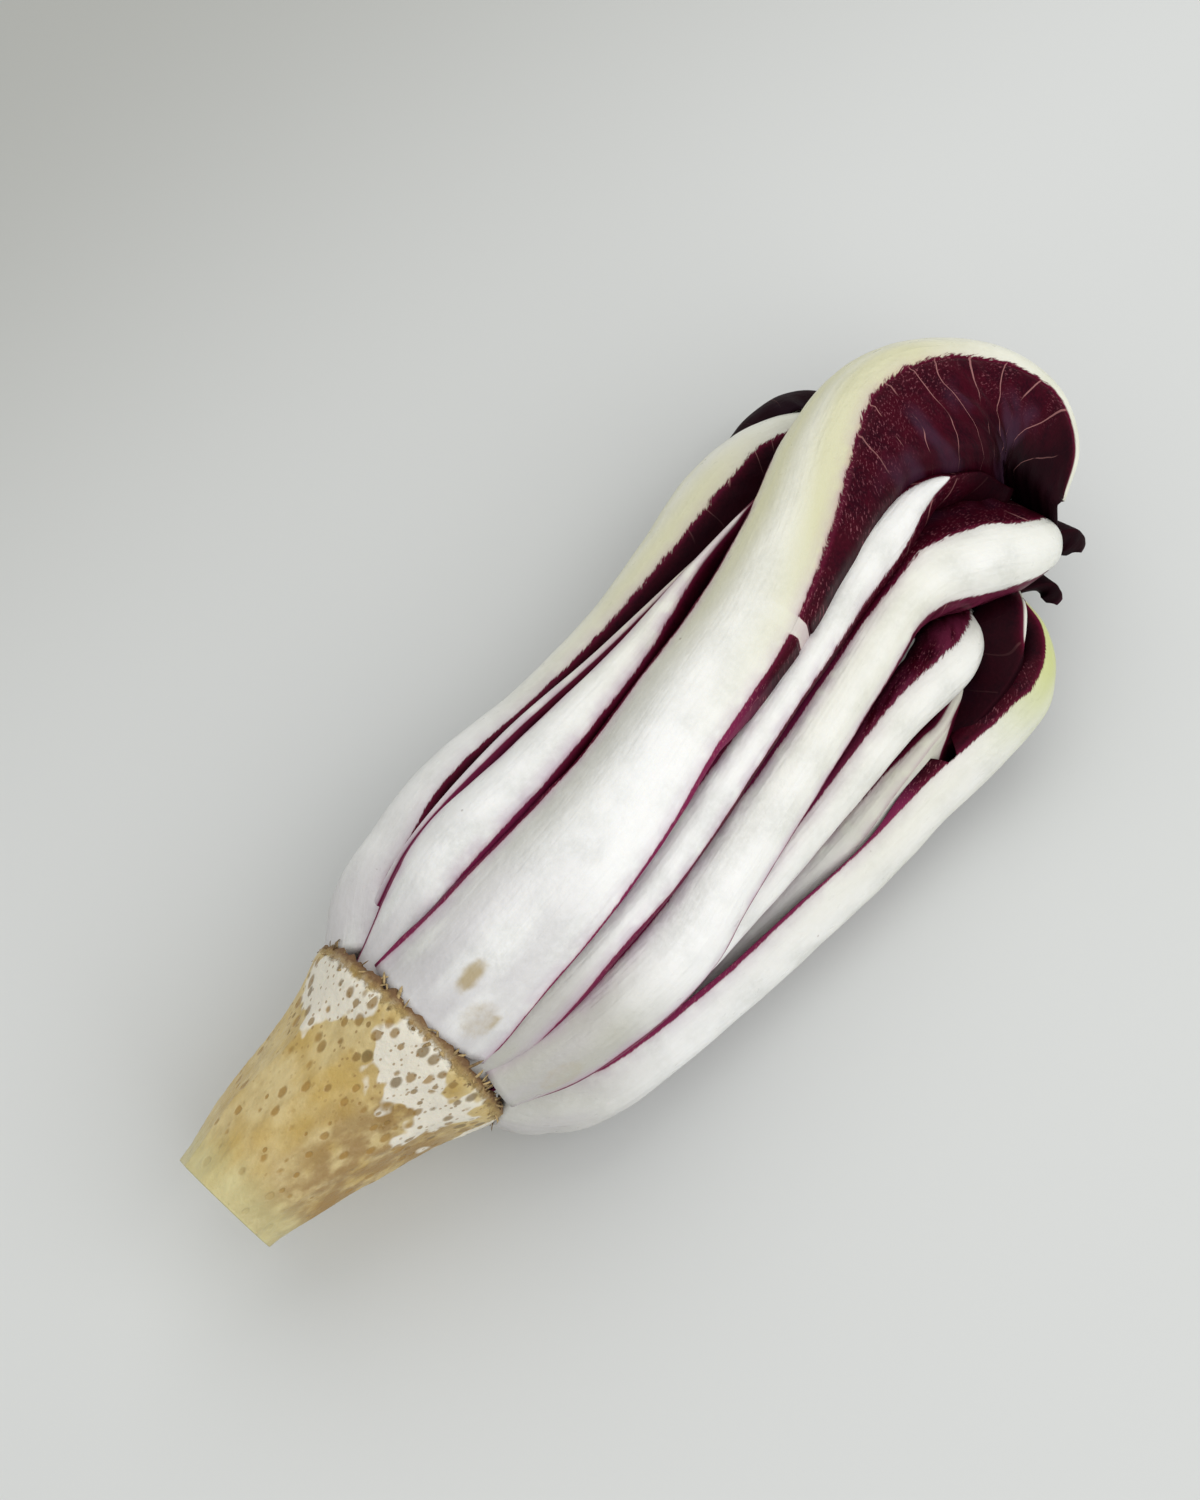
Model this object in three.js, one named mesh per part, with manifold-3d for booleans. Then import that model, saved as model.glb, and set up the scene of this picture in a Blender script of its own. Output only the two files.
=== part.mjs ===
// A head of late-harvest red radicchio lying on its side: a trimmed taproot with a short stem core,
// and long leaves with thick white ribs and narrow crimson blades whose tips hook inwards.
// Millimetres, +Z up, +X from the root towards the leaf tips, the head resting on the z = 0 plane.
import * as THREE from 'three';
import Module from 'manifold-3d';

const wasm = await Module();
wasm.setup();

// ---------------------------------------------------------------- driving dimensions
const GAP = 0.3;             // clear space left between neighbouring pieces
const BLADE_THICK = 0.8;     // thinnest part of a leaf blade
const AXIS_HEIGHT = 27.3;    // height of the head's axis above the surface it lies on
const ROWS_LONG = 16;        // cross-sections along a leaf that shows
const ROWS_SHORT = 10;       // cross-sections along a leaf inside or under the head
const RIB_STEPS = 2;         // mesh steps across half a rib
const BLADE_STEPS = 2;       // mesh steps across one blade
const ROOT_SEGMENTS = 28;    // facets round the root

// Root profile: x along the head, y and z of the centre, radius. The step at x = 0 is the collar,
// beyond it the stem core runs on inside the leaf bases.
const ROOT_PROFILE = [
  [-41, 3.5, 24.5, 10.5],
  [-38.5, 3.5, 24.6, 10.9],
  [-33, 3.2, 24.8, 12.2],
  [-28, 3, 25, 13.4],
  [-21, 2.2, 25.5, 14.8],
  [-15, 1.5, 26, 16],
  [-10, 1, 26.4, 17.4],
  [-6, 0.5, 26.8, 18.9],
  [-2.5, 0.2, 27, 20.2],
  [0, 0, 27.1, 20.7],
  [0, 0, 27.2, 9],
  [12, 0, 27.3, 8.5],
  [26, 0, 27.4, 7],
  [40, 0.5, 27.4, 4],
];

// Leaves drawn one by one. Each row is a cross-section from base to tip:
// x, y, z of the crest of the rib, roll and lean of the way it faces (degrees),
// half the rib's width, width of the left blade, width of the right blade.
// thick is the rib's thickness, arch the angle of the rib at its edge, curl the further bend
// of the left and right blades (degrees). Where two leaves meet, the one listed first is whole.
const LEAVES = {
  // the broad leaf on top, hooking over to the right at its tip
  leaf_crown_hook: {
    thick: 5, arch: 46, curl: [60, 100], rows: [
      [0, -4.5, 46.5, -12, 0, 13, 0.8, 0.3],
      [12, -5.4, 52.5, -8, 0, 12.2, 2, 0.3],
      [31, -4.9, 56, 0, 0, 11.7, 2.5, 0.5],
      [47, -3.7, 56.5, 3, 0, 10.6, 3, 0.8],
      [62.9, -0.6, 55.4, 8, 0, 9.8, 4, 1.5],
      [85.2, 3.3, 54.2, 14, 0, 9.6, 5, 3.5],
      [103.8, 9.5, 52.8, 23, 0, 8.7, 6, 6],
      [121.1, 17.4, 49.2, 34, 0, 8.2, 6, 13.5],
      [135, 20.9, 46.4, 40, 2, 7, 10, 20],
      [147.5, 18.4, 44.2, 41, 20, 6, 10, 24],
      [157.6, 11.6, 41.2, 28, 40, 4.6, 10, 24.5],
      [164, 1.7, 38.6, -14, 54, 3.3, 10, 24.5],
      [164.4, -8.6, 36.2, -56, 42, 1.7, 10, 23],
      [158.6, -17.2, 34, -71, 15, 1, 8, 17],
      [149.5, -21.4, 32, -76, -10, 0.6, 5, 8],
    ],
  },
  // the S-shaped leaf right of the top, with a blunt end
  leaf_mid_curved: {
    thick: 5, arch: 52, curl: [14, 70], rows: [
      [1, -20.3, 36, -52, 0, 6, 1.2, 0.5],
      [16, -25.5, 39.5, -34, 0, 6.7, 1.6, 1],
      [37.1, -27.3, 41.2, -30, 0, 7.8, 1.8, 1],
      [53.1, -24.7, 42.1, -28, 0, 6.9, 1.8, 1],
      [82, -20.1, 42.4, -26, 0, 5.7, 2, 4],
      [100.1, -17, 42.3, -25, 0, 5.3, 3, 8],
      [110, -15.4, 42.3, -24, 0, 4.6, 6, 12],
      [119.3, -16.1, 41.6, -26, 2, 5.8, 9, 14],
      [127.7, -19.8, 39.3, -34, 8, 6.8, 12, 14],
      [135.1, -23.5, 36.1, -42, 18, 6, 16, 14],
      [141.3, -25.4, 32, -54, 30, 5.4, 17, 12],
      [145.7, -25.3, 26.4, -68, 40, 4.8, 14, 8],
      [146.8, -23.2, 19.9, -80, 45, 3.6, 9, 4],
    ],
  },
  // the slender leaf between the top leaf and the S-shaped one
  leaf_mid_narrow: {
    thick: 4, arch: 50, curl: [15, 65], rows: [
      [0, -14.8, 38.2, -40, 0, 4.6, 0.3, 1.5],
      [12, -17, 43.5, -34, 0, 4.9, 0.3, 1.8],
      [34.1, -17.5, 47.1, -22, 0, 3.2, 0.5, 2.2],
      [50.2, -16, 48.4, -20, 0, 3.8, 1, 2.5],
      [77.2, -12, 48.5, -18, 0, 3.2, 3, 4],
      [92.1, -9.5, 47.8, -19, 0, 3.3, 4, 7],
      [105, -6.7, 47, -18, 0, 4, 6, 10],
      [112.6, -5.3, 46.8, -17, 0, 4.7, 8, 12],
      [119.2, -4.7, 45.9, -16, 2, 4, 10, 14],
      [125.5, -4.1, 44.9, -16, 5, 2.6, 12, 15],
      [130.7, -4.4, 43.8, -17, 10, 1.3, 13, 15],
      [134.5, -5.5, 42.4, -18, 15, 0.3, 13, 14],
      [140.5, -8, 38.5, -22, 28, 0.3, 10, 12],
      [144, -11, 33, -30, 45, 0.3, 6, 9],
    ],
  },
  // the outermost leaf on the right, standing off from the rest
  leaf_right_outer: {
    thick: 4.6, arch: 48, curl: [60, 60], rows: [
      [0, -20.5, 27, -85, 0, 7.6, 1, 0.8],
      [6, -28, 23.5, -80, 0, 8.1, 1.3, 1],
      [16, -33.5, 20, -74, 0, 8.3, 1.4, 1],
      [39, -37, 16.5, -72, 0, 7.9, 1, 1],
      [60, -39, 15, -70, 0, 8.2, 0.6, 1],
      [79, -40.5, 14.5, -68, 0, 7.8, 0.5, 2],
      [96, -41, 15, -66, 0, 7.3, 3, 4],
      [110, -42.3, 16.3, -66, 3, 6.8, 4.8, 6],
      [121, -42.5, 18.5, -68, 16, 6, 7.5, 8],
      [128, -39, 20.5, -70, 34, 4.4, 9.5, 9],
      [132, -33, 22.5, -66, 52, 1.6, 9.5, 8],
      [133, -26.5, 24, -60, 66, 0.4, 6, 4],
    ],
  },
  // the outermost leaf on the left
  leaf_left_outer: {
    thick: 4.8, arch: 48, curl: [60, 75], rows: [
      [0, 17, 36, 60, 0, 7.6, 0.8, 2],
      [10, 24.6, 34, 54, 0, 7.9, 1, 2.5],
      [20, 27.3, 33.3, 55, 0, 7.8, 1, 3],
      [35, 29.5, 32.6, 58, 0, 6.6, 1, 3.5],
      [57, 27.9, 30.8, 60, 0, 5.4, 1.5, 4],
      [76, 28.1, 30, 56, 0, 5, 2, 6],
      [93, 30.3, 29.4, 52, 0, 5.9, 3, 10],
      [110, 33.3, 28.2, 50, 0, 7.2, 4, 13],
      [123, 33.3, 26.2, 52, 12, 6.3, 5, 14],
      [135, 29.5, 22.5, 50, 30, 5, 6, 14],
      [143, 22.5, 18.5, 44, 48, 3.6, 5, 12],
      [147, 15, 14.5, 36, 62, 1.6, 4, 5],
    ],
  },
  // the leaf on the left of the top leaf
  leaf_left_shoulder: {
    thick: 4.2, arch: 48, curl: [50, 60], rows: [
      [0, 10, 41.2, 36, 0, 5.7, 0.8, 0.5],
      [20, 13.8, 48.8, 24, 0, 6.8, 1.5, 1.5],
      [41, 12.8, 51.2, 19, 0, 5.6, 2.5, 2.5],
      [57, 13.1, 50.1, 19, 0, 4.4, 3.5, 3.5],
      [71, 14.1, 47.8, 20, 0, 3.2, 4.5, 4.5],
      [92.7, 17, 44.3, 20, 0, 0.8, 6, 7],
      [114, 17.5, 40.5, 20, 0, 0.4, 8, 7],
      [130, 13, 37, 22, 25, 0.3, 9, 9],
      [139, 8, 32, 25, 60, 0.3, 5, 5],
      [141, 4, 27, 28, 80, 0.3, 2, 2],
    ],
  },
  // the short leaf with a rounded white end
  leaf_right_blunt: {
    thick: 3.8, arch: 52, curl: [60, 70], rows: [
      [10, -24, 29, -72, 0, 3.5, 0.5, 0.5],
      [34, -29.5, 32, -58, 0, 4, 1, 1],
      [54, -30, 33, -54, 0, 4, 1, 1],
      [70, -29.5, 33.5, -50, 0, 4.2, 1.5, 3],
      [87, -28.5, 33.5, -47, 0, 4.6, 3, 6],
      [99, -28, 32.5, -46, 2, 4.8, 5, 9],
      [108, -28.5, 31.5, -48, 8, 4.8, 7, 12],
      [115, -28.5, 29.5, -52, 18, 4.6, 9, 13],
      [121, -26.5, 26.5, -58, 30, 4, 9, 11],
      [125, -23, 22.5, -62, 40, 3, 7, 8],
      [126, -19.5, 17, -66, 50, 1.4, 4, 4],
    ],
  },
  // the narrow leaf showing as a sliver on the left
  leaf_left_sliver: {
    thick: 3.4, arch: 46, curl: [50, 60], rows: [
      [8, 17, 38.5, 46, 0, 1.2, 0.5, 0.5],
      [22, 19.2, 43.9, 44, 0, 0.6, 1.5, 1.5],
      [44, 20.1, 44.1, 40, 0, 1.2, 2.5, 2.5],
      [68, 18.9, 42.3, 40, 0, 0.9, 3.5, 3.5],
      [90, 18.9, 39.2, 42, 0, 0.5, 5, 5],
      [112, 18.8, 34.6, 42, 0, 0.4, 6, 6],
      [128, 16.5, 30, 42, 25, 0.3, 6, 5],
      [137, 12.5, 25, 42, 60, 0.3, 3, 2],
    ],
  },
  // the leaf under the outermost left one
  leaf_left_under: {
    thick: 4.6, arch: 46, curl: [60, 75], rows: [
      [0, 17.5, 17, 118, 0, 7.6, 0.6, 0.6],
      [10, 22.5, 15.5, 116, 0, 8.4, 1, 1],
      [22, 25, 14.5, 116, 0, 8.6, 1.2, 1.2],
      [38, 26, 13.5, 118, 0, 8.4, 1.5, 1.5],
      [58, 25, 13.5, 118, 0, 7.8, 2, 2],
      [78, 26, 13, 116, 0, 7, 3.5, 4],
      [96, 28, 11.5, 118, 0, 6, 6.5, 8],
      [112, 31, 10, 124, 4, 4.8, 10, 12],
      [126.5, 36.5, 9.5, 132, 14, 3.6, 12, 14],
      [138.5, 36.5, 9.5, 140, 30, 2.4, 12, 14],
      [147, 31.5, 10, 142, 48, 1.4, 9, 13],
      [151, 22, 11, 135, 62, 0.6, 5, 9],
    ],
  },
  // the thin pale leaf in the gap on the right
  leaf_right_strip: {
    thick: 2.6, arch: 30, curl: [60, 5], rows: [
      [31, -29.7, 14, -45, 0, 0.7, 0.5, 0.5],
      [39.8, -30.1, 15.5, -35, 0, 1, 0.5, 0.5],
      [52.2, -30.8, 17.5, -25, 0, 2, 1, 3],
      [64.9, -31.4, 19, -22, 0, 2.4, 2, 4],
      [77.8, -31.8, 20.5, -22, 0, 2.6, 4, 5],
      [89.5, -31.3, 21.5, -24, 0, 2, 6, 6],
      [99.6, -31.2, 22, -26, 0, 1.2, 7, 7],
      [107.1, -30.7, 22, -30, 0, 0.8, 7, 7],
      [126, -25, 21, -44, 24, 0.6, 6, 5],
      [131, -19, 19, -54, 40, 0.4, 5, 4],
      [133, -13.5, 16.5, -58, 50, 0.3, 3, 2],
    ],
  },
  // the small heart leaf behind the right-hand gap
  leaf_right_heart: {
    thick: 2.2, arch: 30, curl: [50, 15], rows: [
      [72, -27, 13, -55, 0, 0.5, 2, 2],
      [88, -29.5, 15.5, -42, 0, 0.4, 4, 5],
      [100, -32.5, 18, -34, 2, 0.34, 7, 9],
      [107, -34.6, 20, -32, 6, 0.3, 9, 10],
      [115, -35, 22.5, -34, 12, 0.3, 11, 9],
      [122, -34, 24, -36, 20, 0.3, 11, 8],
      [128.1, -31.8, 24, -46, 28, 0.42, 11, 6],
      [132.5, -28.2, 22.5, -42, 36, 0.55, 9, 4],
      [136, -25, 19, -38, 46, 0.58, 7, 3],
      [137.5, -22, 14.5, -34, 56, 0.55, 4, 2],
    ],
  },
  // the dark tip at the far end, upper one
  leaf_tip_upper: {
    thick: 2.2, arch: 40, curl: [50, 60], rows: [
      [80, -13, 29, -60, 0, 0.6, 4, 2],
      [98, -14, 29, -56, 0, 0.5, 8, 3],
      [112, -15, 28.5, -54, 4, 0.4, 12, 6],
      [130, -18, 27.5, -50, 14, 0.3, 16, 9],
      [142, -21, 26, -50, 28, 0.3, 16, 10],
      [149, -23, 24, -55, 45, 0.3, 11, 6],
      [151.5, -24, 20, -62, 60, 0.3, 5, 3],
    ],
  },
  // the dark tip at the far end, lower one
  leaf_tip_lower: {
    thick: 2.6, arch: 40, curl: [50, 60], rows: [
      [112, -13, 15, -60, 4, 0.4, 4, 3],
      [127.3, -19, 14.5, -60, 14, 0.3, 6, 4],
      [137.3, -23.8, 15, -64, 26, 0.3, 7, 4.5],
      [142.8, -26.2, 14.2, -68, 36, 0.3, 6, 4],
      [145.3, -26.7, 11.1, -70, 44, 0.3, 4, 2],
    ],
  },
};

// Leaves of the hidden ring share one outline, turned about the head's axis.
const RING_X = [0, 10, 22, 38, 58, 78, 96, 112, 125, 136, 144, 147];
const RING_RADIUS = [20.5, 25.2, 27.5, 28, 26.8, 26.4, 27.4, 28.6, 28, 24, 16.5, 9];
const RING_Y = [0, 0.2, 0.5, 1, 1.8, 2.4, 3, 3.4, 3.6, 3.6, 3.4, 3.2];
const RING_LEAN = [0, 0, 0, 0, 0, 0, 0, 6, 20, 45, 75, 100];
const RING_HALF = [1, 1.08, 1.1, 1.05, 0.98, 0.9, 0.84, 0.78, 0.68, 0.52, 0.32, 0.1];
const RING_BLADE = [0.6, 1, 1.2, 1.5, 2, 3.5, 6.5, 10, 12, 12, 9, 3];

// angle round the axis from the top, twist from base to tip, radius scale, half rib width,
// length scale, rib thickness and blade scale of each ring leaf
const RING_LEAVES = {
  leaf_belly_left: [164, 2, 1.02, 8.4, 0.98, 4.6, 0.8],
  leaf_belly_right: [-158, 4, 1.06, 8.2, 0.95, 4.6, 0.8],
  leaf_inner_left: [140, 4, 0.72, 5.4, 0.95, 3.4, 0.45],
  leaf_inner_belly: [-176, -4, 0.72, 5.4, 0.9, 3.4, 0.45],
  leaf_inner_right: [-132, 4, 0.66, 5, 0.9, 3.2, 0.45],
  leaf_inner_upper: [95, 4, 0.62, 4.6, 0.93, 3, 0.45],
};

const RAD = Math.PI / 180;

// ---------------------------------------------------------------- small vector helpers
const add = (a, b) => a.map((v, i) => v + b[i]);
const sub = (a, b) => a.map((v, i) => v - b[i]);
const scale = (a, s) => a.map((v) => v * s);
const dot = (a, b) => a[0] * b[0] + a[1] * b[1] + a[2] * b[2];
const cross = (a, b) => [
  a[1] * b[2] - a[2] * b[1],
  a[2] * b[0] - a[0] * b[2],
  a[0] * b[1] - a[1] * b[0],
];
const unit = (a) => scale(a, 1 / Math.hypot(...a));

// ---------------------------------------------------------------- leaf outline
// A smooth curve through the rows, read at t = 0 for the first and rows.length - 1 for the last.
function rowAt(rows, t) {
  const last = rows.length - 1;
  const i = Math.min(Math.max(Math.floor(t), 0), last - 1);
  const f = t - i;
  const p1 = rows[i];
  const p2 = rows[i + 1];
  const p0 = i > 0 ? rows[i - 1] : sub(scale(p1, 2), p2);
  const p3 = i < last - 1 ? rows[i + 2] : sub(scale(p2, 2), p1);
  return p1.map((v, k) => {
    const slope = p2[k] - p0[k];
    const bend = 2 * p0[k] - 5 * v + 4 * p2[k] - p3[k];
    const swing = 3 * v - p0[k] - 3 * p2[k] + p3[k];
    return 0.5 * (2 * v + slope * f + bend * f * f + swing * f * f * f);
  });
}

// Row positions that are evenly spaced along the crest of the rib.
function evenSteps(rows, count) {
  const fine = 60 * rows.length;
  const last = rows.length - 1;
  const travelled = [0];
  let before = rowAt(rows, 0).slice(0, 3);
  for (let k = 1; k <= fine; k += 1) {
    const here = rowAt(rows, (k / fine) * last).slice(0, 3);
    travelled.push(travelled[k - 1] + Math.hypot(...sub(here, before)));
    before = here;
  }
  const steps = [];
  let k = 0;
  for (let n = 0; n < count; n += 1) {
    const goal = (travelled[fine] * n) / (count - 1);
    while (k < fine - 1 && travelled[k + 1] < goal) {
      k += 1;
    }
    const part = (goal - travelled[k]) / Math.max(travelled[k + 1] - travelled[k], 1e-9);
    steps.push(((k + Math.min(Math.max(part, 0), 1)) / fine) * last);
  }
  return steps;
}

// Directions at one row: along the leaf, out of its face, and towards its right-hand edge.
function directionsAt(rows, t) {
  const last = rows.length - 1;
  const ahead = rowAt(rows, Math.min(t + 0.001, last)).slice(0, 3);
  const behind = rowAt(rows, Math.max(t - 0.001, 0)).slice(0, 3);
  const along = unit(sub(ahead, behind));
  const row = rowAt(rows, t);
  const roll = row[3] * RAD;
  const lean = row[4] * RAD;
  const wanted = [Math.sin(lean), Math.cos(lean) * Math.sin(roll), Math.cos(lean) * Math.cos(roll)];
  const out = unit(sub(wanted, scale(along, dot(wanted, along))));
  return { row, along, out, right: cross(along, out) };
}

// Offset sideways, offset outwards and turning angle at a distance s from the crest:
// an arc over the rib, then a blade that goes on bending.
function sectionAt(s, half, blade, arch, curl) {
  const width = Math.max(half, 0.3);
  const onRib = Math.min(s, width);
  const a = (arch * onRib) / width;
  let side = (width / arch) * Math.sin(a);
  let height = (-width / arch) * (1 - Math.cos(a));
  const beyond = Math.max(s - width, 0);
  const bend = curl / Math.max(blade, 4);
  const angle = s > width ? arch + bend * beyond : a;
  if (s > width) {
    side += (Math.sin(angle) - Math.sin(arch)) / bend;
    height -= (Math.cos(arch) - Math.cos(angle)) / bend;
  }
  return { side, height, angle };
}

// ---------------------------------------------------------------- solids
// A closed solid from an outer and an inner grid of points that face each other.
function shellSolid(outer, inner) {
  const rows = outer.length;
  const cols = outer[0].length;
  const points = [...outer.flat(), ...inner.flat()];
  const tris = [];
  const quad = (a, b, c, d) => tris.push(a, b, c, a, c, d);
  const o = (u, v) => u * cols + v;
  const i = (u, v) => rows * cols + u * cols + v;
  for (let u = 0; u < rows - 1; u += 1) {
    for (let v = 0; v < cols - 1; v += 1) {
      quad(o(u, v), o(u, v + 1), o(u + 1, v + 1), o(u + 1, v));
      quad(i(u, v), i(u + 1, v), i(u + 1, v + 1), i(u, v + 1));
    }
    quad(o(u, 0), o(u + 1, 0), i(u + 1, 0), i(u, 0));
    quad(o(u + 1, cols - 1), o(u, cols - 1), i(u, cols - 1), i(u + 1, cols - 1));
  }
  for (let v = 0; v < cols - 1; v += 1) {
    quad(o(0, v + 1), o(0, v), i(0, v), i(0, v + 1));
    quad(o(rows - 1, v), o(rows - 1, v + 1), i(rows - 1, v + 1), i(rows - 1, v));
  }
  return solidFrom(points, tris);
}

function solidFrom(points, tris) {
  const mesh = new wasm.Mesh({
    numProp: 3,
    vertProperties: new Float32Array(points.flat()),
    triVerts: new Uint32Array(tris),
  });
  return new wasm.Manifold(mesh);
}

// One leaf as a solid; grow makes it thicker and wider all round by that much.
function leafSolid(leaf, count, grow) {
  const steps = evenSteps(leaf.rows, count);
  const outer = [];
  const inner = [];
  steps.forEach((t, n) => {
    const { row, along, out, right } = directionsAt(leaf.rows, t);
    let crest = row.slice(0, 3);
    if (n === 0) {
      crest = sub(crest, scale(along, grow));
    }
    if (n === count - 1) {
      crest = add(crest, scale(along, grow));
    }
    const half = Math.max(row[5], 0.3);
    const outerRow = [];
    const innerRow = [];
    for (const way of [-1, 1]) {
      const blade = Math.max(way < 0 ? row[6] : row[7], 0.3);
      const stops = [];
      for (let k = way < 0 ? 0 : 1; k <= RIB_STEPS; k += 1) {
        stops.push((half * k) / RIB_STEPS);
      }
      for (let k = 1; k <= BLADE_STEPS; k += 1) {
        stops.push(half + ((blade + grow) * k) / BLADE_STEPS);
      }
      const pieces = stops.map((s) => {
        const curl = (way < 0 ? leaf.curl[0] : leaf.curl[1]) * RAD;
        const { side, height, angle } = sectionAt(s, half, blade, leaf.arch * RAD, curl);
        const place = add(crest, add(scale(right, way * side), scale(out, height)));
        const normal = add(scale(out, Math.cos(angle)), scale(right, way * Math.sin(angle)));
        const onRib = Math.min(s / half, 1);
        const full = leaf.thick * Math.min(1, half / 5 + 0.1);
        const thick = Math.max(full * (1 - 0.8 * onRib * onRib), BLADE_THICK);
        return [add(place, scale(normal, grow)), sub(place, scale(normal, thick + grow))];
      });
      if (way < 0) {
        pieces.reverse();
      }
      pieces.forEach(([a, b]) => {
        outerRow.push(a);
        innerRow.push(b);
      });
    }
    outer.push(outerRow);
    inner.push(innerRow);
  });
  return shellSolid(outer, inner);
}

function ringLeaf([angle, twist, size, half, length, thick, fan]) {
  const rows = RING_X.map((x, n) => {
    const turn = angle + (twist * x) / RING_X[RING_X.length - 1];
    const radius = RING_RADIUS[n] * size;
    const y = RING_Y[n] + radius * Math.sin(turn * RAD);
    const z = Math.max(AXIS_HEIGHT + radius * Math.cos(turn * RAD), -0.4);
    const blade = Math.max(RING_BLADE[n] * fan, 0.6);
    return [x * length, y, z, turn, RING_LEAN[n], half * RING_HALF[n], blade, blade * 1.1];
  });
  return { thick, arch: 46, curl: [60, 70], rows };
}

// The root and stem core, a stack of rings joined up; grow makes it larger all round.
function rootSolid(grow) {
  const points = [];
  const tris = [];
  const n = ROOT_SEGMENTS;
  ROOT_PROFILE.forEach(([x, y, z, radius], k) => {
    const shift = k === 0 ? -grow : grow;
    for (let j = 0; j < n; j += 1) {
      const a = (j / n) * 2 * Math.PI;
      const r = radius + grow;
      points.push([x + shift, y + r * Math.cos(a), z + r * Math.sin(a)]);
    }
  });
  const rings = ROOT_PROFILE.length;
  for (let k = 0; k < rings - 1; k += 1) {
    for (let j = 0; j < n; j += 1) {
      const a = k * n + j;
      const b = k * n + ((j + 1) % n);
      tris.push(a, b, b + n, a, b + n, a + n);
    }
  }
  const first = points.length;
  points.push([ROOT_PROFILE[0][0] - grow, ROOT_PROFILE[0][1], ROOT_PROFILE[0][2]]);
  const end = ROOT_PROFILE[rings - 1];
  points.push([end[0] + grow, end[1], end[2]]);
  for (let j = 0; j < n; j += 1) {
    const next = (j + 1) % n;
    tris.push(first, next, j);
    tris.push(first + 1, (rings - 1) * n + j, (rings - 1) * n + next);
  }
  return solidFrom(points, tris);
}

// ---------------------------------------------------------------- assembly
// The largest connected piece of a solid, so that no loose crumbs are kept.
function mainBody(solid) {
  const parts = solid.decompose();
  return parts.reduce((best, part) => (part.volume() > best.volume() ? part : best));
}

const pieces = new Map();
const grown = [];

function place(name, solid, bigger) {
  let body = solid;
  for (const other of grown) {
    body = body.subtract(other);
  }
  body = mainBody(body.trimByPlane([0, 0, 1], 0));
  pieces.set(name, body);
  grown.push(bigger.add(body));
}

place('root_stub', rootSolid(0), rootSolid(GAP));
for (const [name, leaf] of Object.entries(LEAVES)) {
  place(name, leafSolid(leaf, ROWS_LONG, 0), leafSolid(leaf, ROWS_LONG, GAP));
}
for (const [name, numbers] of Object.entries(RING_LEAVES)) {
  const leaf = ringLeaf(numbers);
  place(name, leafSolid(leaf, ROWS_SHORT, 0), leafSolid(leaf, ROWS_SHORT, GAP));
}

function toMesh(name, solid, shift) {
  const mesh = solid.translate(shift).getMesh();
  const geometry = new THREE.BufferGeometry();
  const flat = [];
  for (let v = 0; v < mesh.vertProperties.length / mesh.numProp; v += 1) {
    flat.push(...mesh.vertProperties.slice(v * mesh.numProp, v * mesh.numProp + 3));
  }
  geometry.setAttribute('position', new THREE.Float32BufferAttribute(flat, 3));
  geometry.setIndex([...mesh.triVerts]);
  geometry.computeVertexNormals();
  const colour = name === 'root_stub' ? 0xc9ab6b : 0xe9e6dc;
  const material = new THREE.MeshStandardMaterial({ color: colour, roughness: 0.4 });
  const piece = new THREE.Mesh(geometry, material);
  piece.name = name;
  return piece;
}

// The origin sits under the middle of the whole head.
const low = [Infinity, Infinity, Infinity];
const high = [-Infinity, -Infinity, -Infinity];
for (const solid of pieces.values()) {
  const box = solid.boundingBox();
  for (let k = 0; k < 3; k += 1) {
    low[k] = Math.min(low[k], box.min[k]);
    high[k] = Math.max(high[k], box.max[k]);
  }
}
const shift = [-(low[0] + high[0]) / 2, -(low[1] + high[1]) / 2, -low[2]];

const group = new THREE.Group();
group.name = 'radicchio_head';
for (const [name, solid] of pieces) {
  group.add(toMesh(name, solid, shift));
}

export default group;
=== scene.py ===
"""A head of late-harvest radicchio on a pale table: a peeled, spotted root stub with a ragged brown
collar, and long leaves with thick glossy ribs and narrow crimson blades that hook inwards."""
import math

import bpy
import numpy as np
from mathutils import Matrix, Vector


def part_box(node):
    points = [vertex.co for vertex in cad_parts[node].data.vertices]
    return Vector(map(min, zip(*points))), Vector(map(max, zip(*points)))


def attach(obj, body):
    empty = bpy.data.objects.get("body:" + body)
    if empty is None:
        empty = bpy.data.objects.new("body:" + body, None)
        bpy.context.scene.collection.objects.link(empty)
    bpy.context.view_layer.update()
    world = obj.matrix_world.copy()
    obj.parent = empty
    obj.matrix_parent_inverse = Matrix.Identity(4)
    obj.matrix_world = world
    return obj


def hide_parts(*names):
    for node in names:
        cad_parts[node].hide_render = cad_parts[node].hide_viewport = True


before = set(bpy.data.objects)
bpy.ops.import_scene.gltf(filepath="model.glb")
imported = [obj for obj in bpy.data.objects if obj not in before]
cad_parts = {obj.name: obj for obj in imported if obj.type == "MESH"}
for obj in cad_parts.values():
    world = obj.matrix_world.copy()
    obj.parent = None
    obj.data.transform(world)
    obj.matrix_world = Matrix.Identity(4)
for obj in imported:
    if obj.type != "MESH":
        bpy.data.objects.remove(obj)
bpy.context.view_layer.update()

MM = 0.001

# The crown is where the leaves leave the root. The root's own box gives its place: the root ends
# 41 mm behind it, and the collar round it has a radius of 20.7 mm about a point 27.1 mm up.
ROOT_LENGTH = 41.0
COLLAR_RADIUS = 20.7
COLLAR_HEIGHT = 27.1
root_low, root_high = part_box("root_stub")
CROWN = np.array([
    root_low[0] + ROOT_LENGTH * MM,
    root_low[1] + COLLAR_RADIUS * MM,
    root_high[2] - (COLLAR_HEIGHT + COLLAR_RADIUS) * MM,
])


def to_frame(points_mm):
    """Points in millimetres from the crown's foot, moved into the frame's metres."""
    return np.asarray(points_mm) * MM + CROWN


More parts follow.
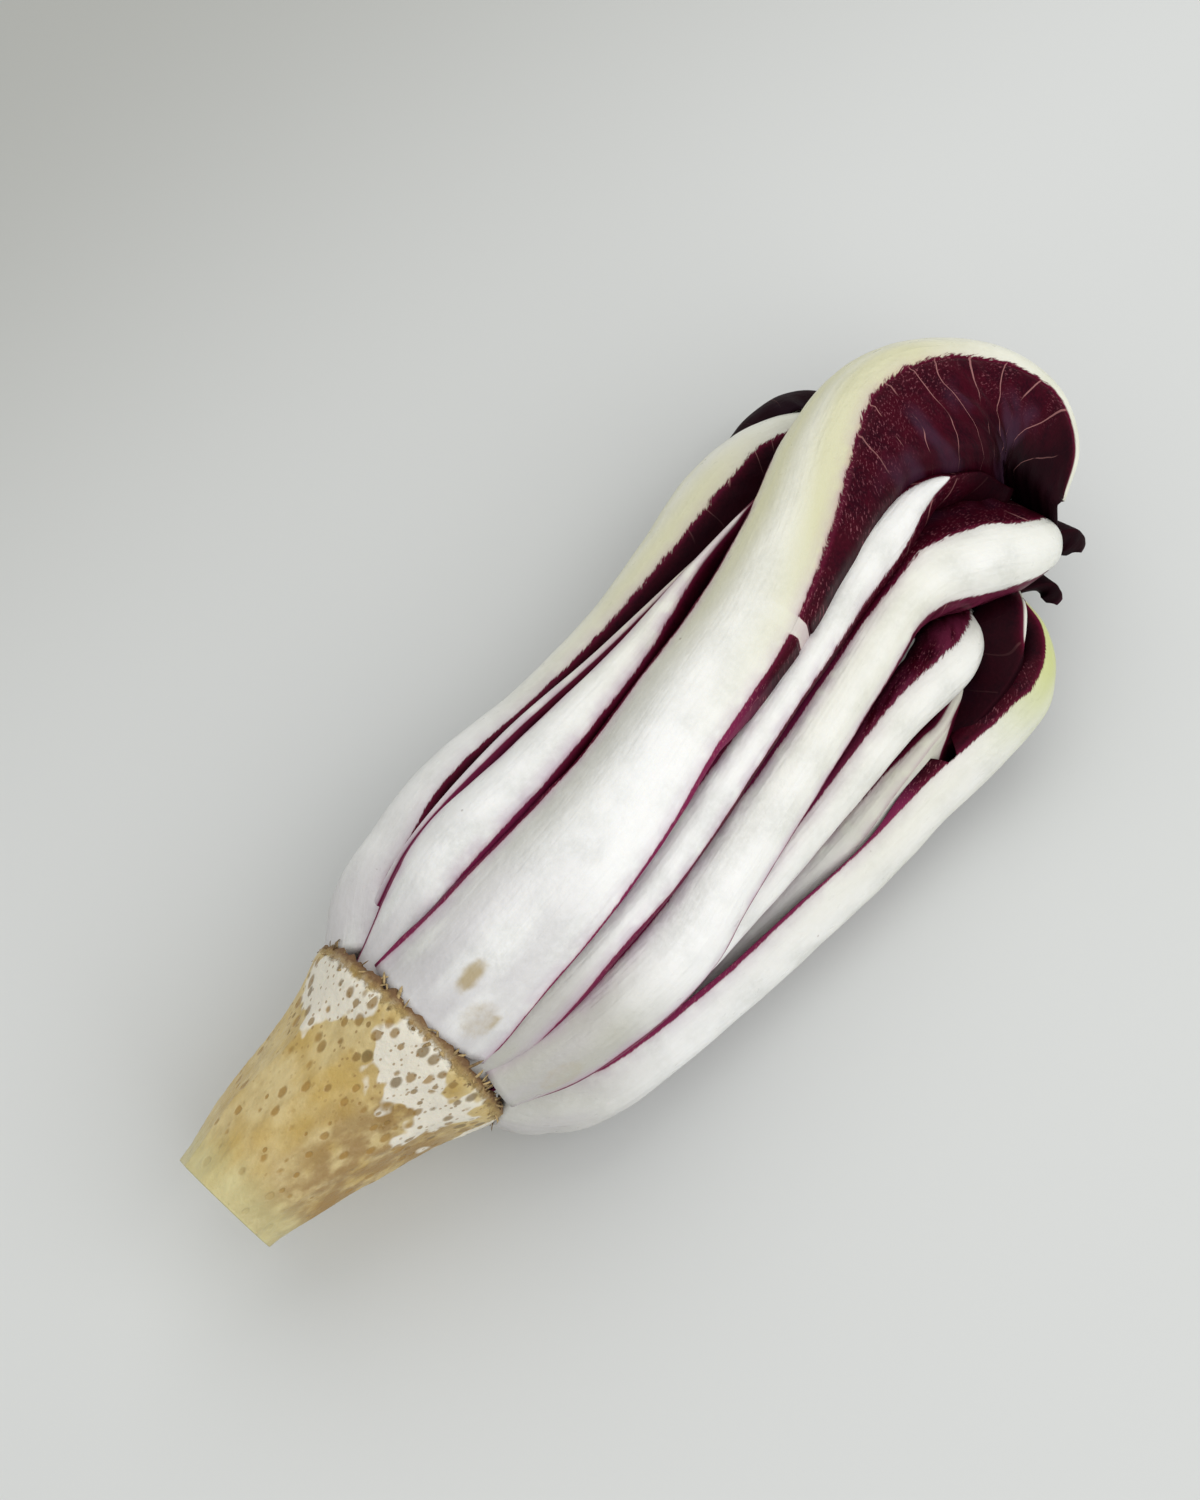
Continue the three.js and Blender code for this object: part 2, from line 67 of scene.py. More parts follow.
# ------------------------------------------------------------------ camera
VIEW_TURN = math.radians(-48)     # the camera's place round the upright
VIEW_RISE = math.radians(70)      # and above the table
VIEW_ANGLE = math.radians(40)     # across the longer side of the picture
VIEW_DISTANCE = 0.363             # m
SENSOR_WIDTH = 36.0
VIEW_CENTRE = to_frame([58.5, 10.3, 27.0])
VIEW_BACK = Vector((
    math.sin(VIEW_TURN) * math.cos(VIEW_RISE),
    -math.cos(VIEW_TURN) * math.cos(VIEW_RISE),
    math.sin(VIEW_RISE),
))
VIEW_RIGHT = Vector((math.cos(VIEW_TURN), math.sin(VIEW_TURN), 0))
VIEW_UP = VIEW_BACK.cross(VIEW_RIGHT)


def make_camera():
    """A camera VIEW_DISTANCE from VIEW_CENTRE, turned about the upright and raised above the table."""
    data = bpy.data.cameras.new("camera")
    data.sensor_width = SENSOR_WIDTH
    data.lens = SENSOR_WIDTH / 2 / math.tan(VIEW_ANGLE / 2)
    data.clip_start = 0.01
    camera = bpy.data.objects.new("camera", data)
    bpy.context.scene.collection.objects.link(camera)
    camera.location = Vector(VIEW_CENTRE) + VIEW_BACK * VIEW_DISTANCE
    camera.rotation_mode = "QUATERNION"
    axes = Matrix((VIEW_RIGHT, VIEW_UP, VIEW_BACK)).transposed()
    camera.rotation_quaternion = axes.to_quaternion()
    bpy.context.scene.camera = camera


make_camera()

# ------------------------------------------------------------------ leaf tables
# Each row is a cross-section from base to tip: x, y, z of the crest of the rib, roll and lean of
# the way it faces (degrees), half the rib's width, width of the left blade, width of the right one.
# thick is the rib's thickness, arch the angle of the rib at its edge, curl the further bend of the
# left and right blades (degrees).
LEAVES = {
    "leaf_crown_hook": dict(thick=5, arch=46, curl=(60, 100), rows=[
        (0, -4.5, 46.5, -12, 0, 13, 0.8, 0.3), (12, -5.4, 52.5, -8, 0, 12.2, 2, 0.3),
        (31, -4.9, 56, 0, 0, 11.7, 2.5, 0.5), (47, -3.7, 56.5, 3, 0, 10.6, 3, 0.8),
        (62.9, -0.6, 55.4, 8, 0, 9.8, 4, 1.5), (85.2, 3.3, 54.2, 14, 0, 9.6, 5, 3.5),
        (103.8, 9.5, 52.8, 23, 0, 8.7, 6, 6), (121.1, 17.4, 49.2, 34, 0, 8.2, 6, 13.5),
        (135, 20.9, 46.4, 40, 2, 7, 10, 20), (147.5, 18.4, 44.2, 41, 20, 6, 10, 24),
        (157.6, 11.6, 41.2, 28, 40, 4.6, 10, 24.5), (164, 1.7, 38.6, -14, 54, 3.3, 10, 24.5),
        (164.4, -8.6, 36.2, -56, 42, 1.7, 10, 23), (158.6, -17.2, 34, -71, 15, 1, 8, 17),
        (149.5, -21.4, 32, -76, -10, 0.6, 5, 8),
    ]),
    "leaf_mid_narrow": dict(thick=4, arch=50, curl=(15, 65), rows=[
        (0, -14.8, 38.2, -40, 0, 4.6, 0.3, 1.5), (12, -17, 43.5, -34, 0, 4.9, 0.3, 1.8),
        (34.1, -17.5, 47.1, -22, 0, 3.2, 0.5, 2.2), (50.2, -16, 48.4, -20, 0, 3.8, 1, 2.5),
        (77.2, -12, 48.5, -18, 0, 3.2, 3, 4), (92.1, -9.5, 47.8, -19, 0, 3.3, 4, 7),
        (105, -6.7, 47, -18, 0, 4, 6, 10), (112.6, -5.3, 46.8, -17, 0, 4.7, 8, 12),
        (119.2, -4.7, 45.9, -16, 2, 4, 10, 14), (125.5, -4.1, 44.9, -16, 5, 2.6, 12, 15),
        (130.7, -4.4, 43.8, -17, 10, 1.3, 13, 15), (134.5, -5.5, 42.4, -18, 15, 0.3, 13, 14),
        (140.5, -8, 38.5, -22, 28, 0.3, 10, 12), (144, -11, 33, -30, 45, 0.3, 6, 9),
        (145.4, -12.9, 31.4, -34, 50, 0.3, 7.5, 10),
    ]),
    "leaf_mid_curved": dict(thick=5, arch=52, curl=(14, 70), rows=[
        (1, -20.3, 36, -52, 0, 6, 1.2, 0.5), (16, -25.5, 39.5, -34, 0, 6.7, 1.6, 1),
        (37.1, -27.3, 41.2, -30, 0, 7.8, 1.8, 1), (53.1, -24.7, 42.1, -28, 0, 6.9, 1.8, 1),
        (82, -20.1, 42.4, -26, 0, 5.7, 2, 4), (100.1, -17, 42.3, -25, 0, 5.3, 3, 8),
        (110, -15.4, 42.3, -24, 0, 4.6, 6, 12), (119.3, -16.1, 41.6, -26, 2, 5.8, 9, 14),
        (127.7, -19.8, 39.3, -34, 8, 6.8, 12, 14), (135.1, -23.5, 36.1, -42, 18, 6, 16, 14),
        (141.3, -25.4, 32, -54, 30, 5.4, 17, 12), (145.7, -25.3, 26.4, -68, 40, 4.8, 14, 8),
        (146.8, -23.2, 19.9, -80, 45, 3.6, 9, 4),
    ]),
    "leaf_right_blunt": dict(thick=3.8, arch=52, curl=(60, 70), rows=[
        (10, -24, 29, -72, 0, 3.5, 0.5, 0.5), (34, -29.5, 32, -58, 0, 4, 1, 1),
        (54, -30, 33, -54, 0, 4, 1, 1), (70, -29.5, 33.5, -50, 0, 4.2, 1.5, 3),
        (87, -28.5, 33.5, -47, 0, 4.6, 3, 6), (99, -28, 32.5, -46, 2, 4.8, 5, 9),
        (108, -28.5, 31.5, -48, 8, 4.8, 7, 12), (115, -28.5, 29.5, -52, 18, 4.6, 9, 13),
        (121, -26.5, 26.5, -58, 30, 4, 9, 11), (125, -23, 22.5, -62, 40, 3, 7, 8),
        (126, -19.5, 17, -66, 50, 1.4, 4, 4),
    ]),
    "leaf_right_strip": dict(thick=2.6, arch=30, curl=(60, 5), rows=[
        (31, -29.7, 14, -45, 0, 0.7, 0.5, 0.5), (39.8, -30.1, 15.5, -35, 0, 1, 0.5, 0.5),
        (52.2, -30.8, 17.5, -25, 0, 2, 1, 3), (64.9, -31.4, 19, -22, 0, 2.4, 2, 4),
        (77.8, -31.8, 20.5, -22, 0, 2.6, 4, 5), (89.5, -31.3, 21.5, -24, 0, 2, 6, 6),
        (99.6, -31.2, 22, -26, 0, 1.2, 7, 7), (107.1, -30.7, 22, -30, 0, 0.8, 7, 7),
        (126, -25, 21, -44, 24, 0.6, 6, 5), (131, -19, 19, -54, 40, 0.4, 5, 4),
        (133, -13.5, 16.5, -58, 50, 0.3, 3, 2),
    ]),
    "leaf_right_heart": dict(thick=2.2, arch=30, curl=(50, 15), rows=[
        (72, -27, 13, -55, 0, 0.5, 2, 2), (88, -29.5, 15.5, -42, 0, 0.4, 4, 5),
        (100, -32.5, 18, -34, 2, 0.34, 7, 9), (107, -34.6, 20, -32, 6, 0.3, 9, 10),
        (114.7, -35.2, 23.4, -34, 12, 0.3, 11, 9), (121.2, -34.3, 26.3, -36, 20, 0.36, 11, 8),
        (126, -31.9, 26.4, -46, 28, 0.46, 11, 6), (130.5, -28.8, 26.1, -42, 36, 0.5, 9, 4),
        (134.4, -25.7, 22, -38, 46, 0.5, 7, 3), (136.9, -23.2, 17.8, -34, 56, 0.42, 4, 2),
    ]),
    "leaf_right_outer": dict(thick=4.6, arch=48, curl=(60, 60), rows=[
        (0, -20.5, 27, -85, 0, 7.6, 1, 0.8), (6, -28, 23.5, -80, 0, 8.1, 1.3, 1),
        (16, -33.5, 20, -74, 0, 8.3, 1.4, 1), (39, -37, 16.5, -72, 0, 7.9, 1, 1),
        (60, -39, 15, -70, 0, 8.2, 0.6, 1), (79, -40.5, 14.5, -68, 0, 7.8, 0.5, 2),
        (96, -41, 15, -66, 0, 7.3, 3, 4), (110, -42.3, 16.3, -66, 3, 6.8, 4.8, 6),
        (121, -42.5, 18.5, -68, 16, 6, 7, 8), (128, -39, 20.5, -70, 34, 4.4, 5, 9),
        (132, -33, 22.5, -66, 52, 1.6, 4, 8), (133, -26.5, 24, -60, 66, 0.4, 3, 4),
    ]),
    "leaf_left_shoulder": dict(thick=4.2, arch=48, curl=(50, 60), rows=[
        (0, 10, 41.2, 36, 0, 5.7, 0.8, 0.5), (20, 13.8, 48.8, 24, 0, 6.8, 1.5, 1.5),
        (41, 12.8, 51.2, 19, 0, 5.6, 2.5, 2.5), (57, 13.1, 50.1, 19, 0, 4.4, 3.5, 3.5),
        (71, 14.1, 47.8, 20, 0, 3.2, 4.5, 4.5), (92.7, 17, 44.3, 20, 0, 0.8, 6, 7),
        (114, 17.5, 40.5, 20, 0, 0.4, 8, 7), (130, 13, 37, 22, 25, 0.3, 9, 9),
        (139, 8, 32, 25, 60, 0.3, 5, 5), (141, 4, 27, 28, 80, 0.3, 2, 2),
    ]),
    "leaf_left_sliver": dict(thick=3.4, arch=46, curl=(50, 60), rows=[
        (8.6, 17.6, 36.1, 46, 0, 1.2, 0.5, 0.5), (22.3, 19.5, 42.8, 44, 0, 0.6, 1.5, 1.5),
        (44, 20.1, 44.1, 40, 0, 1.2, 2.5, 2.5), (68, 18.9, 42.3, 40, 0, 0.9, 3.5, 3.5),
        (90, 18.9, 39.2, 42, 0, 0.5, 5, 5), (112, 18.8, 34.6, 42, 0, 0.4, 6, 6),
        (128, 16.5, 30, 42, 25, 0.3, 6, 5), (137, 12.5, 25, 42, 60, 0.3, 3, 2),
    ]),
    "leaf_left_outer": dict(thick=4.8, arch=48, curl=(60, 75), rows=[
        (0, 17, 36, 60, 0, 7.6, 0.8, 2), (10, 24.6, 34, 54, 0, 7.9, 1, 2.5),
        (20, 27.3, 33.3, 55, 0, 7.8, 1, 3), (35, 29.5, 32.6, 58, 0, 6.6, 1, 3.5),
        (57, 27.9, 30.8, 60, 0, 5.4, 1.5, 4), (76, 28.1, 30, 56, 0, 5, 2, 6),
        (93, 30.3, 29.4, 52, 0, 5.9, 3, 10), (110, 33.3, 28.2, 50, 0, 7.2, 4, 13),
        (123, 33.3, 26.2, 52, 12, 6.3, 5, 14), (135, 29.5, 22.5, 50, 30, 5, 6, 14),
        (143, 22.5, 18.5, 44, 48, 3.6, 5, 12), (147, 15, 14.5, 36, 62, 1.6, 4, 5),
    ]),
    "leaf_left_under": dict(thick=4.6, arch=46, curl=(60, 75), rows=[
        (0, 17.5, 17, 118, 0, 7.6, 0.6, 0.6), (10, 22.5, 15.5, 116, 0, 8.4, 1, 1),
        (22, 25, 14.5, 116, 0, 8.6, 1.2, 1.2), (38, 26, 13.5, 118, 0, 8.4, 1.5, 1.5),
        (58, 25, 13.5, 118, 0, 7.8, 2, 2), (78, 26, 13, 116, 0, 7, 3.5, 4),
        (96, 28, 11.5, 118, 0, 6, 6.5, 8), (112, 31, 10, 124, 4, 4.8, 10, 12),
        (126.5, 36.5, 9.5, 132, 14, 3.6, 12, 14), (138.5, 36.5, 9.5, 140, 30, 2.4, 12, 14),
        (147, 31.5, 10, 142, 48, 1.4, 9, 13), (151, 22, 11, 135, 62, 0.6, 5, 9),
    ]),
    "leaf_tip_upper": dict(thick=2.2, arch=40, curl=(50, 60), rows=[
        (80, -13, 29, -60, 0, 0.6, 4, 2), (98, -14, 29, -56, 0, 0.5, 8, 3),
        (112, -15, 28.5, -54, 4, 0.4, 12, 6), (130, -18, 27.5, -50, 14, 0.3, 16, 9),
        (142.6, -21.6, 26, -50, 28, 0.3, 16, 11), (150, -24.9, 24, -55, 45, 0.3, 10, 7.5),
        (152.6, -26.6, 20, -62, 58, 0.3, 6, 5), (153, -27.4, 17.4, -66, 68, 0.3, 2, 2),
    ]),
    "leaf_tip_lower": dict(thick=2.6, arch=40, curl=(50, 60), rows=[
        (112, -13, 15, -60, 4, 0.4, 4, 3), (127.3, -19, 14.5, -60, 14, 0.3, 6, 4),
        (137.3, -23.8, 15, -64, 26, 0.3, 7, 4.5), (143.6, -27.4, 14.2, -68, 36, 0.3, 6, 4),
        (145, -29.4, 11.4, -70, 42, 0.36, 4.6, 3.4), (145.2, -30.2, 9.2, -72, 50, 0.36, 1.6, 1.6),
    ]),
}

# The leaves of the hidden ring share one outline, turned about the head's axis.
AXIS_HEIGHT = 27.3
RING_X = np.array([0, 10, 22, 38, 58, 78, 96, 112, 125, 136, 144, 147])
RING_RADIUS = np.array([20.5, 25.2, 27.5, 28, 26.8, 26.4, 27.4, 28.6, 28, 24, 16.5, 9])
RING_Y = np.array([0, 0.2, 0.5, 1, 1.8, 2.4, 3, 3.4, 3.6, 3.6, 3.4, 3.2])
RING_LEAN = np.array([0, 0, 0, 0, 0, 0, 0, 6, 20, 45, 75, 100])
RING_HALF = np.array([1, 1.08, 1.1, 1.05, 0.98, 0.9, 0.84, 0.78, 0.68, 0.52, 0.32, 0.1])
RING_BLADE = np.array([0.6, 1, 1.2, 1.5, 2, 3.5, 6.5, 10, 12, 12, 9, 3])
RING_LOWEST = -0.4       # lowest crest, mm; the surface itself is cut flat at the table
RING_LEAST_BLADE = 0.6   # narrowest left blade, mm
RING_RIGHT_SHARE = 1.1   # width of the right blade over that of the left one
RING_ARCH, RING_CURL = 46, (60, 70)
# angle round the axis from the top, twist from base to tip, radius scale, half rib width,
# length scale, rib thickness and blade scale of each ring leaf
RING_LEAVES = {
    "leaf_belly_left": (164, 2, 1.02, 8.4, 0.98, 4.6, 0.8),
    "leaf_belly_right": (-158, 4, 1.06, 8.2, 0.95, 4.6, 0.8),
    "leaf_inner_left": (140, 4, 0.72, 5.4, 0.95, 3.4, 0.45),
    "leaf_inner_belly": (-176, -4, 0.72, 5.4, 0.9, 3.4, 0.45),
    "leaf_inner_right": (-132, 4, 0.66, 5, 0.9, 3.2, 0.45),
    "leaf_inner_upper": (80, 4, 0.62, 4.6, 0.93, 3, 0.9),
}


def ring_leaf(angle, twist, size, half, length, thick, fan):
    """A ring leaf's rows: points at RING_RADIUS times size from the axis, turned by angle plus the
    share of twist reached, never lower than RING_LOWEST."""
    turn = angle + twist * RING_X / RING_X[-1]
    radius = RING_RADIUS * size
    y = RING_Y + radius * np.sin(np.radians(turn))
    z = np.maximum(AXIS_HEIGHT + radius * np.cos(np.radians(turn)), RING_LOWEST)
    left = np.maximum(RING_BLADE * fan, RING_LEAST_BLADE)
    right = left * RING_RIGHT_SHARE
    rows = np.stack([RING_X * length, y, z, turn, RING_LEAN, half * RING_HALF, left, right], 1)
    return dict(thick=thick, arch=RING_ARCH, curl=RING_CURL, rows=rows)


for leaf_name, numbers in RING_LEAVES.items():
    LEAVES[leaf_name] = ring_leaf(*numbers)

# A blade that is stretched to a margin of its own, instead of curling on from its rib: for each
# row of the leaf, x, y, z of the margin and how far it holds (0 not at all, 1 fully).
MARGINS = {
    ("leaf_crown_hook", 1): [
        (2.5, -14.9, 39.8, 0), (13.8, -15.5, 46.7, 0), (32.1, -14.5, 51.8, 0), (48, -13.5, 52.8, 0),
        (64.8, -11, 52, 0), (88, -8, 51.5, 0.6), (108.9, -2.3, 49.5, 1), (127.1, 0.4, 47, 1),
        (135.4, -2.9, 45, 1), (141.9, -6.4, 42.5, 1), (144.8, -8, 40.5, 1), (145.3, -8.8, 39, 1),
        (145.8, -10.6, 37.5, 1), (146.7, -15.8, 36, 1), (147, -21.2, 33.5, 1),
    ],
}
MARGIN_SINK = 0.35       # how steeply such a blade sinks where it meets its margin
TUCK_FROM = 0.75         # share of its width past which it is folded down
TUCK = (0.5, -2.8, -12.0)  # and how far the fold takes its edge, mm
# Tears in a blade: side (-1 left, 1 right), how far along the leaf it is centred, its half length
# at the rib and at the margin in millimetres, and how wide a tongue of white flesh is left (0 to 1).
TEARS = {
    "leaf_crown_hook": [(1, 90.0, 1.2, 2.2, 0.8)],
    "leaf_right_outer": [(-1, 108.5, 1.0, 3.0, 0.0)],
}
# Bruises on a rib: how far along the leaf and across from its crest (mm), half length, half
# width, strength and how hollow the middle is (0 a filled patch, 1 a ring).
BRUISES = {
    "leaf_crown_hook": [
        (11.5, 0.6, 3.8, 2.0, 0.8, 0.0), (6.5, 6.4, 4.4, 3.4, 0.62, 0.35),
        (8.0, 8.6, 1.2, 0.8, 0.3, 0.0),
    ],
    "leaf_mid_curved": [(10.0, 2.0, 4.6, 2.6, 0.55, 0.5)],
    "leaf_right_blunt": [(104.0, 0.0, 1.6, 1.4, 0.3, 0.9)],
}
# Tint of a leaf: how cream its upper part is, how green its tip is, and how lilac its rib's edges are; that
# lilac is partly the rib's own tint and partly painted shade in the groove beside the next leaf.
TINTS = {
    "leaf_crown_hook": (1.35, 0.15, 0.7), "leaf_mid_narrow": (0.1, 0.0, 1.0),
    "leaf_mid_curved": (0.35, 0.1, 1.0), "leaf_right_outer": (0.3, 1.0, 0.5),
    "leaf_left_outer": (1.0, 0.2, 0.5), "leaf_left_shoulder": (0.4, 0.1, 1.0),
    "leaf_right_blunt": (0.2, 0.1, 0.6), "leaf_left_sliver": (0.7, 0.2, 0.8),
}
USUAL_TINT = (0.5, 0.3, 0.6)
# painted shade on a leaf's rib, laid on as grey: how grey the rib is all over, how much greyer its left
# edge is and how much greyer its foot is
RIB_SHADES = {
    "leaf_crown_hook": (0.0, 1.0, -0.45), "leaf_left_outer": (0.2, 0.35, 0.0),
    "leaf_left_shoulder": (0.05, 0.25, 0.0), "leaf_left_sliver": (0.3, 0.4, 0.0),
    "leaf_mid_narrow": (0.0, 0.1, 1.5), "leaf_mid_curved": (0.0, 0.1, 1.7),
    "leaf_right_strip": (0.45, 0.2, 0.0), "leaf_right_outer": (0.0, 0.1, 0.8),
}
USUAL_RIB_SHADE = (0.05, 0.1, 0.2)
# painted shade: how far a leaf's left and right blades are darkened where they lie deep in the head; below
# 0 they are made lighter instead, painted light
BLADE_SHADING = {
    "leaf_right_strip": (0.8, 0.8), "leaf_right_heart": (0.8, 0.8), "leaf_tip_upper": (0.9, 0.9),
    "leaf_tip_lower": (0.95, 0.95), "leaf_left_under": (0.9, 0.9), "leaf_left_outer": (0.85, 0.85),
    "leaf_left_shoulder": (0.7, 0.7), "leaf_left_sliver": (0.7, 0.7), "leaf_mid_narrow": (0.35, 0.2),
    "leaf_mid_curved": (0.25, -0.8), "leaf_right_blunt": (-0.9, 0.5), "leaf_right_outer": (0.15, 0.2),
}
INNER_BLADE_SHADE = (0.9, 0.9)        # the same for an inner leaf
# painted shade on the very tip of every blade
TIP_BLADE_SHADE = 0.85         # every blade is at least this dark at its very tip

# blades that stay white some way past the rib: width of the white (mm), up to how far along the
# leaf, fading over the last PALE_FADE millimetres
PALE_BLADES = {("leaf_right_strip", 1): (9.0, 78.0)}
PALE_FADE = 18

# crimson that creeps up on the rib's edge near the foot: width (mm), up to what share of the length
FOOT_LINES = {
    ("leaf_mid_narrow", 1): (1.0, 0.30), ("leaf_mid_curved", 1): (0.8, 0.22),
    ("leaf_left_shoulder", -1): (2.7, 0.18),
}

BLADE_THICK = 0.34       # thinnest part of a blade, mm
LEAST_WIDTH = 0.3        # narrowest half rib or blade, mm
INNER_LOWEST = 0.3       # lowest point of a leaf's inner surface over the table, mm
RIB_THINNING = 0.85      # share of the rib's thickness that is gone at its edge
RIB_LUMPS = 0.16         # height of the slow lumps in a leaf, mm
BLADE_WAVES = 0.55       # height of the waves in its blades, mm
RAGGED_WIDTH = 0.06      # how unevenly wide a blade is, as a share of its width
PATTERN_SHIFT = 37.0     # how far apart along the finish two leaves begin, mm
TEAR_STEPS = 30          # mesh steps along a tear
TEAR_MARGIN = 0.6        # how far past the tear they reach, mm
LEAST_STEP = 0.03        # steps nearer than this are dropped, mm
RIB_STEPS = 10           # mesh steps over half a rib
BLADE_STEPS = 13         # mesh steps over one blade
LONG_STEPS = 150         # mesh steps along a leaf that shows
HIDDEN_STEPS = 84        # mesh steps along a leaf that is nearly hidden


# ------------------------------------------------------------------ leaf surfaces
def catmull(rows, t):
    """A smooth curve through the rows, read at t = 0 for the first and len(rows) - 1 for the last: the
    cubic through two neighbours whose slopes come from the rows on either side of them."""
    rows = np.asarray(rows, float)
    last = len(rows) - 1
    i = np.clip(np.floor(t).astype(int), 0, last - 1)
    f = (t - i)[:, None]
    p1, p2 = rows[i], rows[i + 1]
    p0 = np.where((i > 0)[:, None], rows[np.maximum(i - 1, 0)], 2 * p1 - p2)
    p3 = np.where((i < last - 1)[:, None], rows[np.minimum(i + 2, last)], 2 * p2 - p1)
    slope, bend, swing = p2 - p0, 2 * p0 - 5 * p1 + 4 * p2 - p3, 3 * p1 - p0 - 3 * p2 + p3
    return 0.5 * (2 * p1 + slope * f + bend * f**2 + swing * f**3)


def unit(vectors):
    """Vectors divided by their lengths."""
    return vectors / np.maximum(np.linalg.norm(vectors, axis=-1, keepdims=True), 1e-9)


def smooth_step(low, high, value):
    """0 below low, 1 above high, and 3 t^2 - 2 t^3 in between."""
    t = np.clip((value - low) / (high - low), 0, 1)
    return t * t * (3 - 2 * t)


def ripple(a, b, seed, waves=5, span=14.0):
    """Soft unevenness from -1 to 1: the mean of a few sine waves over a and b (millimetres) at seeded
    slants, with lengths from half of span to twice it."""
    rng = np.random.default_rng(seed)
    total = np.zeros(np.broadcast(a, b).shape)
    for _ in range(waves):
        length = span * rng.uniform(0.5, 2.0)
        slant = rng.uniform(-1.5, 1.5)
        total = total + np.sin(2 * np.pi * (a + slant * b) / length + rng.uniform(0, 2 * np.pi))
    return total / waves


def steps_along(rows, count, tears):
    """Places along a leaf, evenly spaced on its crest, with more of them round each tear: the row
    parameter and the distance from the base in millimetres."""
    fine = np.linspace(0, len(rows) - 1, 60 * len(rows))
    crest = catmull(rows[:, :3], fine)
    travelled = np.concatenate([[0], np.cumsum(np.linalg.norm(np.diff(crest, axis=0), axis=1))])
    along = np.linspace(0, travelled[-1], count)
    packed = [
        np.linspace(at - wide - TEAR_MARGIN, at + wide + TEAR_MARGIN, TEAR_STEPS)
        for _, at, _, wide, _ in tears
    ]
    along = np.sort(np.concatenate([along, *packed]))
    along = along[np.concatenate([[True], np.diff(along) > LEAST_STEP])]
    return np.interp(along, travelled, fine), along


def facing(rows, t):
    """The crest, and the unit directions out of the leaf and to its right, at each place t. Out is the
    wanted facing (from roll and lean) less its part along the leaf."""
    row = catmull(rows, t)
    ahead = catmull(rows[:, :3], np.minimum(t + 1e-3, len(rows) - 1))
    behind = catmull(rows[:, :3], np.maximum(t - 1e-3, 0))
    forward = unit(ahead - behind)
    roll, lean = np.radians(row[:, 3]), np.radians(row[:, 4])
    wanted = np.stack([np.sin(lean), np.cos(lean) * np.sin(roll), np.cos(lean) * np.cos(roll)], 1)
    out = unit(wanted - (wanted * forward).sum(1, keepdims=True) * forward)
    return row, out, np.cross(forward, out)


def torn_share(along, side, tears):
    """How much of the blade's width is left, 0 to 1, and how much of it is white flesh: none is left in
    the middle of a tear but its tongue. The tear's half length grows from the rib to the margin."""
    left, flesh = np.ones_like(along), np.zeros_like(along)
    for torn_side, at, narrow, wide, tongue in tears:
        if torn_side == side:
            whole = np.clip((np.abs(along - at) - narrow) / (wide - narrow), 0, 1)
            left = np.minimum(left, np.maximum(whole, tongue))
            flesh = np.maximum(flesh, tongue * (1 - smooth_step(0.0, 0.5, whole)))
    return left, flesh


def stretched_blade(edge, start, margin, share):
    """A blade from the rib's edge to its own margin: the cubic that leaves the edge along start and
    meets the margin while sinking. Past TUCK_FROM of its width it is folded down by TUCK."""
    gap = margin - edge
    span = np.linalg.norm(gap, axis=-1, keepdims=True)
    finish = unit(gap) * span + np.array([0, 0, -MARGIN_SINK]) * span
    v = np.minimum(share / TUCK_FROM, 1)[None, :, None]
    edge, margin, start, finish = edge[:, None], margin[:, None], (start * span)[:, None], finish[:, None]
    spread = (
        (2 * v**3 - 3 * v**2 + 1) * edge + (v**3 - 2 * v**2 + v) * start
        + (3 * v**2 - 2 * v**3) * margin + (v**3 - v**2) * finish
    )
    tucked = np.maximum(share - TUCK_FROM, 0)[None, :, None] / (1 - TUCK_FROM)
    return spread + tucked * np.array(TUCK)


